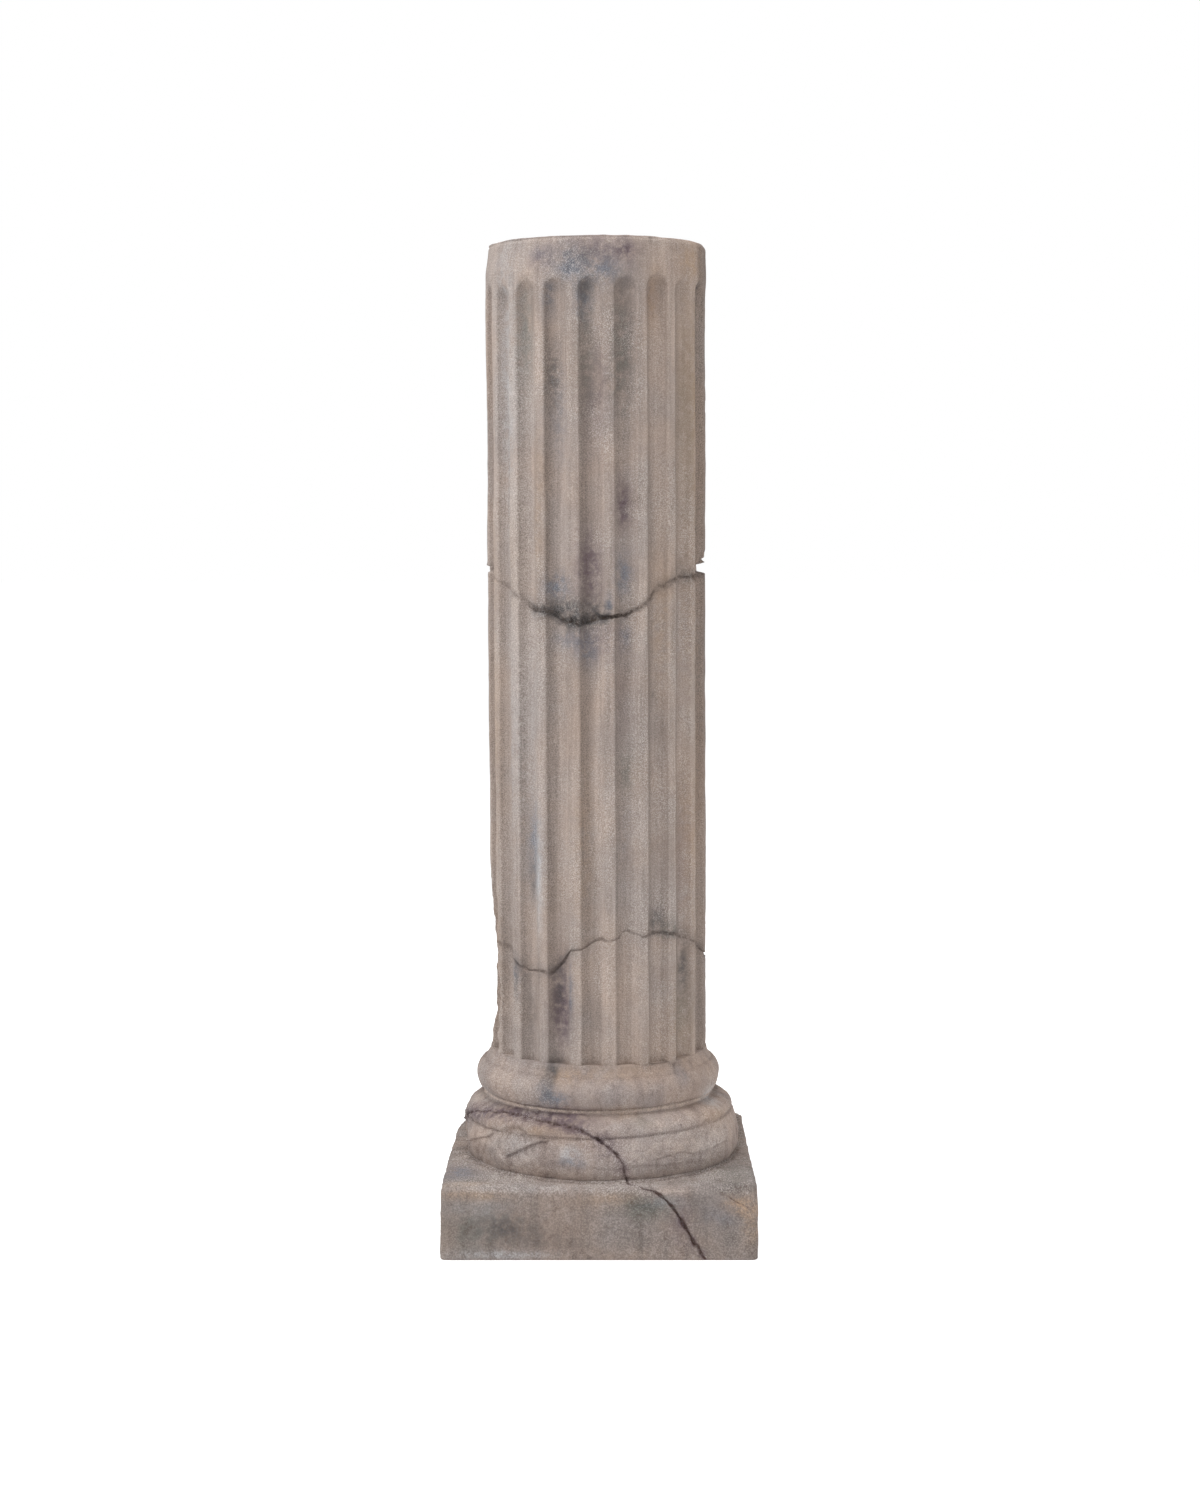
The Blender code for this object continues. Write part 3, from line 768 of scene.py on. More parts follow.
LOWER_CRACK = RingCrack.through(
    [
        (-88, 0.33, 0.003, 0.003, 0.0024, 0.32, 0.1), (-78, 0.319, 0.0026, 0.0026, 0.0021, 0.28, 0.1),
        (-67, 0.3125, 0.0024, 0.0024, 0.0021, 0.4, 0.15), (-57, 0.3094, 0.0022, 0.0024, 0.0021, 0.32, 0.1),
        (-51, 0.3031, 0.0026, 0.0026, 0.0024, 0.44, 0.2), (-44, 0.2924, 0.0026, 0.0026, 0.0024, 0.48, 0.2),
        (-41, 0.2886, 0.0026, 0.0026, 0.0024, 0.56, 0.25), (-36, 0.2904, 0.0024, 0.0024, 0.0024, 0.48, 0.25),
        (-30, 0.2915, 0.0024, 0.0024, 0.0024, 0.48, 0.2), (-27, 0.29, 0.0026, 0.0026, 0.0025, 0.52, 0.25),
        (-22, 0.2968, 0.0026, 0.0028, 0.0027, 0.52, 0.35), (-18, 0.3064, 0.0026, 0.0026, 0.0027, 0.56, 0.3),
        (-14, 0.3161, 0.0026, 0.0024, 0.0025, 0.6, 0.25), (-9, 0.3171, 0.0022, 0.0022, 0.0021, 0.48, 0.1),
        (-5, 0.3225, 0.0015, 0.0015, 0.0017, 0.28, 0.05), (-1, 0.326, 0.0016, 0.0016, 0.0017, 0.32, 0.05),
        (2, 0.328, 0.0024, 0.0026, 0.0022, 0.56, 0.1), (5, 0.3259, 0.0014, 0.0014, 0.0015, 0.28, 0.05),
        (11, 0.328, 0.0014, 0.0014, 0.0015, 0.28, 0.05), (13, 0.3345, 0.0014, 0.0014, 0.0014, 0.28, 0.05),
        (16, 0.3369, 0.0014, 0.0014, 0.0014, 0.28, 0.05), (19, 0.3327, 0.0014, 0.0014, 0.0015, 0.28, 0.05),
        (24, 0.329, 0.0016, 0.0016, 0.0015, 0.28, 0.1), (30, 0.3312, 0.002, 0.0018, 0.0018, 0.36, 0.25),
        (36, 0.3301, 0.0024, 0.002, 0.0021, 0.44, 0.4), (44, 0.3283, 0.0024, 0.0022, 0.0022, 0.52, 0.4),
        (54, 0.3227, 0.0024, 0.0022, 0.0022, 0.48, 0.3), (61, 0.3163, 0.0024, 0.0022, 0.0022, 0.44, 0.25),
        (72, 0.309, 0.0026, 0.0026, 0.0024, 0.36, 0.15), (80, 0.293, 0.005, 0.005, 0.0044, 0.4, 0.15),
        (98, 0.292, 0.005, 0.005, 0.0046, 0.4, 0.15), (106, 0.296, 0.0026, 0.0026, 0.0024, 0.4, 0.2),
        (126, 0.315, 0.0024, 0.0026, 0.0024, 0.44, 0.2), (138, 0.308, 0.0024, 0.0024, 0.0021, 0.36, 0.1),
        (150, 0.31, 0.0024, 0.0024, 0.0022, 0.4, 0.2), (160, 0.326, 0.0022, 0.0022, 0.0022, 0.4, 0.2),
        (171, 0.332, 0.0028, 0.0028, 0.0025, 0.48, 0.3), (184, 0.324, 0.0022, 0.0022, 0.0021, 0.36, 0.1),
        (196, 0.326, 0.0024, 0.0024, 0.0022, 0.4, 0.15), (208, 0.341, 0.0022, 0.0022, 0.0022, 0.4, 0.2),
        (221, 0.346, 0.0024, 0.0024, 0.0024, 0.44, 0.2), (234, 0.339, 0.0022, 0.0022, 0.0022, 0.36, 0.1),
        (247, 0.341, 0.0028, 0.0028, 0.0025, 0.4, 0.2),
    ],
    waver=0.0012,
)


def unrolled(points: np.ndarray, middle: float) -> np.ndarray:
    """Lays the base's surface out flat.

    Args:
        points: points on it, with x, y and z along the last axis.
        middle: x of the base's axis.

    Returns:
        For each point the way round at the gauge radius, zero, and the height.
    """
    round_way = BASE_GAUGE * np.arctan2(points[..., 0] - middle, -points[..., 1])
    return np.stack([round_way, np.zeros_like(round_way), points[..., 2]], axis=-1)


def base_stop(angle: float, height: float, reach: float, depth: float) -> PathStop:
    """Returns a stop of a crack in the base, laid out flat."""
    return PathStop(BASE_GAUGE * math.radians(angle), 0.0, height, reach, depth)


@dataclass(frozen=True)
class Ledge:
    """A broken edge on the base: the stone below it has flaked away and runs out again.

    Attributes:
        stops: the edge's points from left to right, as angles and heights.
        drop: how far the stone is set back right under the edge.
        spread: how far down the flake reaches.
    """

    stops: list[tuple[float, float]]
    drop: float
    spread: float

    stray: ClassVar[Relief] = Relief(0.0007, 0.006, 2)
    lip: ClassVar[float] = 0.0014  # metres over which the edge drops

    def set_back(self, flat: np.ndarray) -> np.ndarray:
        """Works out how far the stone is set back.

        Args:
            flat: its points, laid out flat.

        Returns:
            How far each point is set back.
        """
        ways = [BASE_GAUGE * math.radians(angle) for angle, _ in self.stops]
        level = np.interp(flat[..., 0], ways, [height for _, height in self.stops])
        under = level + self.stray.at(flat) - flat[..., 2]
        inside = smoothstep(flat[..., 0], ways[0] - 0.002, ways[0] + 0.003)
        inside = inside * (1.0 - smoothstep(flat[..., 0], ways[-1] - 0.004, ways[-1] + 0.002))
        fade = np.exp(-np.maximum(under, 0.0) / self.spread)
        return self.drop * inside * smoothstep(under, 0.0, self.lip) * fade


# For each stop of the crack across the base: angle, height, reach, depth.
BASE_CRACK_ROWS = [
    (-112, 0.104, 0.0022, 0.0025), (-100, 0.109, 0.003, 0.004),
    (-91, 0.113, 0.004, 0.0052), (-82, 0.121, 0.0034, 0.0044),
    (-68, 0.132, 0.0022, 0.0032), (-56, 0.137, 0.002, 0.003),
    (-47, 0.1385, 0.0022, 0.0032), (-39, 0.139, 0.0024, 0.0034),
    (-28, 0.1376, 0.003, 0.004), (-19, 0.1357, 0.0034, 0.0046),
    (-11, 0.134, 0.0034, 0.0046), (-6, 0.128, 0.0032, 0.0044),
    (-2, 0.1235, 0.003, 0.0044), (1, 0.118, 0.003, 0.0044),
    (6, 0.108, 0.0028, 0.0042), (9, 0.096, 0.002, 0.0034),
    (9.5, 0.086, 0.0018, 0.0032), (11.5, 0.074, 0.0018, 0.0032),
]
BASE_CRACK = PathCrack([base_stop(*row) for row in BASE_CRACK_ROWS])


class SoftLight(NamedTuple):
    """A square soft light."""

    name: str
    place: Place
    side: float
    power: float  # watts


@dataclass(frozen=True)
class Studio:
    """The pale floor, the soft light and the camera.

    Attributes:
        camera_place: where the camera stands.
        pitch: degrees that it looks down.
        yaw: degrees that it looks to the left.
        lens: focal length in millimetres.
        sensor: length of the frame's longer side on the sensor, in millimetres.
        floor_half: half the floor's width.
        floor_glow: how strongly the floor glows, as light and to look at.
        surround: the same for the white surround.
        aim: the point that every light shines on.
        lights: the lights.
    """

    camera_place: Place = (0.0, -2.7177, 0.7599)
    pitch: float = 5.133
    yaw: float = -0.023
    lens: float = 60.56
    sensor: float = 36.0
    floor_half: float = 30.0
    floor_glow: tuple[float, float] = (0.21, 0.7)
    surround: tuple[float, float] = (0.36, 1.0)
    aim: Place = (0.0, 0.0, 0.55)
    lights: tuple[SoftLight, ...] = (
        SoftLight("key_light", (-2.75, -1.7, 2.2), 1.0, 39.0),
        SoftLight("right_fill", (3.0, -1.1, 1.6), 1.6, 23.0),
        SoftLight("top_light", (-0.3, -0.8, 3.4), 1.6, 60.0),
    )

    def set_up(self) -> None:
        """Makes everything round the column."""
        self.floor()
        self.camera()
        self.world()
        for light in self.lights:
            self.shine(light)
        bpy.context.scene.view_settings.view_transform = "Standard"

    def floor(self) -> None:
        """Makes the floor."""
        half = self.floor_half
        corners = [(-half, -half, 0), (half, -half, 0), (half, half, 0), (-half, half, 0)]
        mesh = bpy.data.meshes.new("floor")
        mesh.from_pydata(corners, [], [(0, 1, 2, 3)])
        made = placed("floor", mesh)
        material = bpy.data.materials.new("pale_floor")
        material.use_nodes = True
        shader = material.node_tree.nodes["Principled BSDF"]
        shader.inputs["Base Color"].default_value = (0.86, 0.86, 0.86, 1.0)
        shader.inputs["Roughness"].default_value = 0.9
        shader.inputs["Emission Color"].default_value = (1.0, 1.0, 1.0, 1.0)
        self.strength(material.node_tree, shader.inputs["Emission Strength"], self.floor_glow)
        mesh.materials.append(material)

    def camera(self) -> None:
        """Makes the camera and gives it to the scene."""
        data = bpy.data.cameras.new("camera")
        data.sensor_width = self.sensor
        data.lens = self.lens
        made = placed("camera", data)
        made.location = self.camera_place
        made.rotation_euler = (math.radians(90.0 - self.pitch), 0.0, math.radians(self.yaw))
        bpy.context.scene.camera = made

    def world(self) -> None:
        """Makes the even white surround."""
        world = bpy.data.worlds.new("white_surround")
        world.use_nodes = True
        background = world.node_tree.nodes["Background"]
        background.inputs["Color"].default_value = (1.0, 1.0, 1.0, 1.0)
        self.strength(world.node_tree, background.inputs["Strength"], self.surround)
        bpy.context.scene.world = world

    def strength(
        self, tree: bpy.types.NodeTree, socket: Socket, levels: tuple[float, float]
    ) -> None:
        """Makes something look brighter to the camera than it shines on the column.

        Args:
            tree: the tree that the socket is in.
            socket: takes the strength.
            levels: the strength as light, and to look at.
        """
        wiring = Wiring(tree)
        seen = wiring.add("LightPath", {}).outputs["Is Camera Ray"]
        inputs = {"Value": seen, "To Min": levels[0], "To Max": levels[1]}
        wiring.feed(socket, wiring.add("MapRange", inputs).outputs["Result"])

    def shine(self, light: SoftLight) -> None:
        """Makes a soft light and turns it to the column.

        Args:
            light: its name, place, size and power.
        """
        data = bpy.data.lights.new(light.name, "AREA")
        data.size = light.side
        data.energy = light.power
        made = placed(light.name, data)
        made.location = light.place
        toward = Vector(self.aim) - Vector(light.place)
        made.rotation_euler = toward.to_track_quat("-Z", "Y").to_euler()


class Wiring:
    """Adds nodes to a shader tree, each with its inputs set or linked in the same call."""

    def __init__(self, tree: bpy.types.NodeTree) -> None:
        """Works on a tree."""
        self.tree = tree

    def feed(self, socket: Socket, value: object) -> None:
        """Links a socket to another one, or sets its value.

        Args:
            socket: the socket to feed.
            value: a socket to link it to, or its value.
        """
        if isinstance(value, Socket):
            self.tree.links.new(value, socket)
        else:
            socket.default_value = value

    def add(self, kind: str, inputs: dict[str | int, object], **settings: object) -> bpy.types.Node:
        """Adds a node.

        Args:
            kind: the node's type, without the words ShaderNode.
            inputs: what its sockets get, by name or by number.
            **settings: its own settings.

        Returns:
            The node.
        """
        node = self.tree.nodes.new(f"ShaderNode{kind}")
        for name, value in settings.items():
            setattr(node, name, value)
        for name, value in inputs.items():
            self.feed(node.inputs[name], value)
        return node

    def math(self, operation: str, *values: object, clamp: bool = False) -> Socket:
        """Returns the result of a sum on one to three values."""
        inputs = dict(enumerate(values))
        return self.add("Math", inputs, operation=operation, use_clamp=clamp).outputs[0]

    def remap(
        self, value: object, low: float, high: float, first: float, last: float
    ) -> Socket:
        """Moves a value smoothly from one range to another, and holds it at its ends.

        Args:
            value: what is moved.
            low: where its range starts.
            high: where its range ends.
            first: what low becomes.
            last: what high becomes.

        Returns:
            The moved value.
        """
        inputs = {"Value": value, "From Min": low, "From Max": high, "To Min": first, "To Max": last}
        node = self.add("MapRange", inputs, interpolation_type="SMOOTHSTEP")
        return node.outputs["Result"]

    def blend(
        self, factor: object, first: object, second: object, mode: str = "MIX"
    ) -> Socket:
        """Returns one colour laid over another."""
        inputs = {0: factor, 6: first, 7: second}
        return self.add("Mix", inputs, data_type="RGBA", blend_type=mode).outputs[2]

    def shaded(self, colour: object, shade: object) -> Socket:
        """Returns a colour times a plain number."""
        grey = self.add("CombineColor", {0: shade, 1: shade, 2: shade}).outputs[0]
        return self.blend(1.0, colour, grey, "MULTIPLY")

    def stretched(self, vector: object, scale: Place) -> Socket:
        """Returns the place times a scale on each axis."""
        return self.add("VectorMath", {0: vector, 1: scale}, operation="MULTIPLY").outputs[0]

    def noise(
        self, vector: object, scale: object, detail: float = 2.0, roughness: float = 0.55
    ) -> Socket:
        """Returns soft noise from 0 to 1."""
        inputs = {"Vector": vector, "Scale": scale, "Detail": detail, "Roughness": roughness}
        return self.add("TexNoise", inputs).outputs["Fac"]


class EffectGroup:
    """A shader node group, built once and placed in every material with values of its own.

    Attributes:
        name: the group's name.
        inputs: the kind of each input, by name.
        outputs: the kind of each output, by name.
    """

    name: ClassVar[str]
    inputs: ClassVar[Kinds]
    outputs: ClassVar[Kinds]

    @classmethod
    def tree(cls) -> bpy.types.NodeTree:
        """Builds the group the first time, and finds it again after that.

        Returns:
            The group's tree.
        """
        if cls.name in bpy.data.node_groups:
            return bpy.data.node_groups[cls.name]
        made = bpy.data.node_groups.new(cls.name, "ShaderNodeTree")
        for direction, sockets in (("INPUT", cls.inputs), ("OUTPUT", cls.outputs)):
            for name, kind in sockets.items():
                made.interface.new_socket(name, in_out=direction, socket_type=f"NodeSocket{kind}")
        start, end = made.nodes.new("NodeGroupInput"), made.nodes.new("NodeGroupOutput")
        wiring = Wiring(made)
        for name, socket in cls.build(wiring, start.outputs).items():
            wiring.feed(end.inputs[name], socket)
        return made

    @classmethod
    def build(cls, wiring: Wiring, given: Sockets) -> dict[str, Socket]:
        """Adds the group's nodes.

        Args:
            wiring: works on the group's tree.
            given: the group's inputs, by name.

        Returns:
            What each output gets.
        """
        raise NotImplementedError

    @classmethod
    def place(cls, wiring: Wiring, values: dict[str, object]) -> Sockets:
        """Places the group in a material.

        Args:
            wiring: works on the material's tree.
            values: what its inputs get, by name.

        Returns:
            The group's outputs, by name.
        """
        node = wiring.add("Group", {}, node_tree=cls.tree())
        for name, value in values.items():
            wiring.feed(node.inputs[name], value)
        return node.outputs


class SandGrain(EffectGroup):
    """The sandy skin of cast stone: fine grains, sparse larger ones and small air holes."""

    name: ClassVar[str] = "sand grain"
    inputs: ClassVar[Kinds] = {"Vector": "Vector", "Grains per metre": "Float"}
    outputs: ClassVar[Kinds] = {"Speckle": "Float", "Height": "Float", "Holes": "Float"}

    @classmethod
    def build(cls, wiring: Wiring, given: Sockets) -> dict[str, Socket]:
        """Adds the grain's nodes.

        Args:
            wiring: works on the group's tree.
            given: the group's inputs, by name.

        Returns:
            What each output gets.
        """
        vector, fine = given["Vector"], given["Grains per metre"]
        speckle = wiring.noise(vector, fine, 3.0, 0.7)
        coarse = wiring.noise(vector, wiring.math("MULTIPLY", fine, 0.32), 2.0, 0.6)
        wide = wiring.math("MULTIPLY", fine, 0.2)
        cells = wiring.add("TexVoronoi", {"Vector": vector, "Scale": wide})
        holes = wiring.remap(cells.outputs["Distance"], 0.06, 0.22, 1.0, 0.0)
        patches = wiring.remap(wiring.noise(vector, 26.0), 0.5, 0.68, 0.0, 1.0)
        holes = wiring.math("MULTIPLY", holes, patches)
        height = wiring.math("MULTIPLY_ADD", speckle, 0.55, wiring.math("MULTIPLY", coarse, 0.6))
        height = wiring.math("SUBTRACT", height, wiring.math("MULTIPLY", holes, 0.5))
        return {"Speckle": speckle, "Height": height, "Holes": holes}


class CloudyWash(EffectGroup):
    """Two body colours that drift into each other in clouds and in upright brush strokes."""

    name: ClassVar[str] = "cloudy wash"
    inputs: ClassVar[Kinds] = {
        "Vector": "Vector",
        "Warm": "Color",
        "Cool": "Color",
        "Deep": "Color",
        "Strokes": "Float",
    }
    outputs: ClassVar[Kinds] = {"Colour": "Color"}

    upright_streaks: ClassVar[Place] = (60.0, 60.0, 6.0)
    upright_strokes: ClassVar[Place] = (330.0, 330.0, 9.0)

    @classmethod
    def build(cls, wiring: Wiring, given: Sockets) -> dict[str, Socket]:
        """Adds the wash's nodes.

        Args:
            wiring: works on the group's tree.
            given: the group's inputs, by name.

        Returns:
            What each output gets.
        """
        vector = given["Vector"]
        cloud = wiring.remap(wiring.noise(vector, 9.0, 4.0, 0.6), 0.36, 0.64, 0.0, 1.0)
        tall = wiring.stretched(vector, cls.upright_streaks)
        streak = wiring.remap(wiring.noise(tall, 1.0, 3.0), 0.4, 0.66, 0.0, 1.0)
        blotch = wiring.remap(wiring.noise(vector, 34.0, 3.0, 0.65), 0.45, 0.72, 0.0, 1.0)
        colour = wiring.blend(cloud, given["Warm"], given["Cool"])
        share = wiring.math("MULTIPLY_ADD", streak, 0.45, wiring.math("MULTIPLY", blotch, 0.27))
        colour = wiring.blend(share, colour, given["Deep"])
        thin = wiring.stretched(vector, cls.upright_strokes)
        stroke = wiring.remap(wiring.noise(thin, 1.0, 3.0), 0.3, 0.7, -1.0, 1.0)
        shade = wiring.math("MULTIPLY_ADD", stroke, given["Strokes"], 1.0)
        return {"Colour": wiring.shaded(colour, shade)}


class PaintedStain(EffectGroup):
    """One pigment rubbed on where its mask says, broken up as a dry sponge leaves it."""

    name: ClassVar[str] = "painted stain"
    inputs: ClassVar[Kinds] = {
        "Vector": "Vector",
        "Colour": "Color",
        "Pigment": "Color",
        "Mask": "Float",
        "Speckle": "Float",
    }
    outputs: ClassVar[Kinds] = {"Colour": "Color"}

    @classmethod
    def build(cls, wiring: Wiring, given: Sockets) -> dict[str, Socket]:
        """Adds the stain's nodes.

        Args:
            wiring: works on the group's tree.
            given: the group's inputs, by name.

        Returns:
            What each output gets.
        """
        broken = wiring.remap(wiring.noise(given["Vector"], 95.0, 4.0, 0.7), 0.3, 0.66, 0.35, 1.5)
        grainy = wiring.remap(given["Speckle"], 0.3, 0.7, 0.7, 1.3)
        factor = wiring.math("MULTIPLY", given["Mask"], broken)
        factor = wiring.math("MULTIPLY", factor, grainy, clamp=True)
        return {"Colour": wiring.blend(factor, given["Colour"], given["Pigment"])}


class PaleCoatAndHighlight(EffectGroup):
    """A pale dry-brushed coat that catches on ridges and on the tops of the grains, also laid on as painted
    highlight where the ridge mask says.
    """

    name: ClassVar[str] = "pale coat and painted highlight"
    inputs: ClassVar[Kinds] = {
        "Vector": "Vector",
        "Colour": "Color",
        "Pale": "Color",
        "Ridge": "Float",
        "Speckle": "Float",
        "Amount": "Float",
    }
    outputs: ClassVar[Kinds] = {"Colour": "Color"}

    @classmethod
    def build(cls, wiring: Wiring, given: Sockets) -> dict[str, Socket]:
        """Adds the scumble's nodes.

        Args:
            wiring: works on the group's tree.
            given: the group's inputs, by name.

        Returns:
            What each output gets.
        """
        patch = wiring.remap(wiring.noise(given["Vector"], 15.0, 4.0, 0.6), 0.38, 0.66, 0.15, 1.0)
        grains = wiring.remap(given["Speckle"], 0.46, 0.64, 0.0, 1.1)
        ridge = wiring.math("MULTIPLY_ADD", given["Ridge"], 0.95, 0.2)
        factor = wiring.math("MULTIPLY", wiring.math("MULTIPLY", patch, grains), ridge)
        factor = wiring.math("MULTIPLY", factor, given["Amount"], clamp=True)
        return {"Colour": wiring.blend(factor, given["Colour"], given["Pale"])}


class GrimeAndPaintedShade(EffectGroup):
    """The dark wash that gathers in cracks, and the painted shade, with a thin wash, in hollows and on
    shaded sides.
    """

    name: ClassVar[str] = "grime and painted shade"
    thickest: ClassVar[float] = 0.8
    inputs: ClassVar[Kinds] = {
        "Vector": "Vector",
        "Colour": "Color",
        "Grime and shade": "Color",
        "Crack": "Float",
        "Hollow": "Float",
        "Speckle": "Float",
    }
    outputs: ClassVar[Kinds] = {"Colour": "Color"}

    @classmethod
    def build(cls, wiring: Wiring, given: Sockets) -> dict[str, Socket]:
        """Adds the grime's nodes.

        Args:
            wiring: works on the group's tree.
            Adds the nodes of the grime and the painted shade.

        Returns:
            What each output gets.
        """
        uneven = wiring.remap(wiring.noise(given["Vector"], 230.0, 5.0, 0.8), 0.42, 0.57, 0.05, 1.1)
        grainy = wiring.remap(given["Speckle"], 0.35, 0.6, 0.62, 0.3)
        # Painted shade from the hollow mask, with a thin wash, broken up by the grains.
        thin = wiring.math("MULTIPLY", given["Hollow"], grainy)
        deep = wiring.math("MULTIPLY", given["Crack"], uneven)
        factor = wiring.math("MAXIMUM", thin, deep)
        factor = wiring.math("MINIMUM", factor, cls.thickest)
        return {"Colour": wiring.blend(factor, given["Colour"], given["Grime and shade"])}


PIGMENT_COLOURS: dict[Pigment, Colour] = {
    Pigment.BLUE_GREY: (0.165, 0.178, 0.215, 1.0),
    Pigment.PURPLE: (0.14, 0.1, 0.112, 1.0),
    Pigment.OCHRE: (0.41, 0.285, 0.195, 1.0),
    Pigment.GREEN_GREY: (0.165, 0.16, 0.138, 1.0),
    Pigment.SOOT: (0.07, 0.066, 0.068, 1.0),
    Pigment.BLOOM: (0.5, 0.505, 0.525, 1.0),
    Pigment.CREAM: (0.56, 0.45, 0.385, 1.0),
}


@dataclass(frozen=True)
class CastStone:
    """Weathered cast stone, washed and dry-brushed by hand.

    Attributes:
        name: the material's name.
        warm: the body colour's warm side.
        cool: its cool side.
        deep: the colour of its streaks and blotches.
        pale: the dry-brushed coat, also used as the painted highlight.
        grime_and_shade: the wash in the cracks, also used as the painted shade in hollows and on shaded
            sides.
        scumble: how much of the pale coat and the painted highlight there is.
        strokes: how strongly the upright brush strokes show.
        grain: grains per metre.
        relief: metres of the grain's relief.
        bite: how strongly the relief shows.
        shine: the shader's specular level.
    """

    name: str
    warm: Colour
    cool: Colour
    deep: Colour
    pale: Colour = (0.6, 0.55, 0.52, 1.0)
    grime_and_shade: Colour = (0.075, 0.046, 0.04, 1.0)
    scumble: float = 0.8
    strokes: float = 0.0
    grain: float = 900.0
    relief: float = 0.0009
    bite: float = 0.9
    shine: float = 0.3

    def mask(self, wiring: Wiring, name: str) -> Socket:
        """Returns one of the skin's masks."""
        return wiring.add("Attribute", {}, attribute_name=name).outputs["Fac"]

    def material(self) -> bpy.types.Material:
        """Makes the material, from the body wash out to the grime and the painted shade.

        Returns:
            The material.
        """
        made = bpy.data.materials.new(self.name)
        made.use_nodes = True
        wiring = Wiring(made.node_tree)
        shader = made.node_tree.nodes["Principled BSDF"]
        vector = wiring.add("TexCoord", {}).outputs["Object"]
        grain = SandGrain.place(wiring, {"Vector": vector, "Grains per metre": self.grain})
        values = {"Vector": vector, "Warm": self.warm, "Cool": self.cool, "Deep": self.deep}
        colour = CloudyWash.place(wiring, {**values, "Strokes": self.strokes})["Colour"]
        shared = {"Vector": vector, "Speckle": grain["Speckle"]}
        for pigment, tone in PIGMENT_COLOURS.items():
            mask = self.mask(wiring, pigment.value)
            values = {**shared, "Colour": colour, "Pigment": tone, "Mask": mask}
            colour = PaintedStain.place(wiring, values)["Colour"]
        # The ridge mask carries the pale coat and painted highlight.
        ridge = self.mask(wiring, "ridge")
        values = {**shared, "Colour": colour, "Pale": self.pale, "Ridge": ridge, "Amount": self.scumble}
        colour = PaleCoatAndHighlight.place(wiring, values)["Colour"]
        # The hollow mask holds painted shade as well as wash.
        hollow, crack = self.mask(wiring, "hollow"), self.mask(wiring, "crack")
        values = {**shared, "Colour": colour, "Grime and shade": self.grime_and_shade, "Crack": crack, "Hollow": hollow}
        colour = GrimeAndPaintedShade.place(wiring, values)["Colour"]
        shade = wiring.remap(grain["Speckle"], 0.3, 0.7, 0.8, 1.2)
        wiring.feed(shader.inputs["Base Color"], wiring.shaded(colour, shade))
        matt = wiring.remap(grain["Speckle"], 0.3, 0.7, 0.96, 0.82)
        wiring.feed(shader.inputs["Roughness"], matt)
        shader.inputs["Specular IOR Level"].default_value = self.shine
        relief = {"Height": grain["Height"], "Strength": self.bite, "Distance": self.relief}
        wiring.feed(shader.inputs["Normal"], wiring.add("Bump", relief).outputs[0])
        return made


SHAFT_STONE = CastStone(
    "shaft_stone",
    warm=(0.45, 0.353, 0.298, 1.0),
    cool=(0.392, 0.332, 0.304, 1.0),
    deep=(0.265, 0.212, 0.185, 1.0),
    pale=(0.62, 0.57, 0.54, 1.0),
    grime_and_shade=(0.098, 0.074, 0.06, 1.0),
    scumble=0.5,
    strokes=0.09,
    grain=880.0,
)
BASE_STONE = CastStone(
    "base_stone",
    warm=(0.418, 0.322, 0.27, 1.0),
    cool=(0.35, 0.3, 0.282, 1.0),
    deep=(0.22, 0.172, 0.158, 1.0),
    scumble=0.45,
    grain=800.0,
)
PLINTH_STONE = CastStone(
    "plinth_stone",
    warm=(0.322, 0.252, 0.214, 1.0),
    cool=(0.268, 0.232, 0.217, 1.0),
    deep=(0.158, 0.13, 0.117, 1.0),
    grime_and_shade=(0.085, 0.046, 0.036, 1.0),
    scumble=0.75,
    grain=640.0,
)


class StonePiece:
    """A piece of the column, in one stone.

    Attributes:
        name: the piece's name.
        stone: what it is made of.
    """

    name: ClassVar[str]
    stone: ClassVar[CastStone]

    def skin(self) -> Skin:
        """Builds the piece's skin.

        Returns:
            The skin, with its masks.
        """
        raise NotImplementedError

    def build(self) -> bpy.types.Object:
        """Builds the piece and dresses it.

        Returns:
            The finished object.
        """
        piece = self.skin().piece(self.name)
        self.dress(piece)
        return piece

    def dress(self, piece: bpy.types.Object) -> None:
        """Gives the piece its stone, and ties it to the frame.

        Args:
            piece: the object.
        """
        piece.data.materials.append(self.stone.material())
        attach(piece, BODY)
        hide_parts(CAD_NODE)


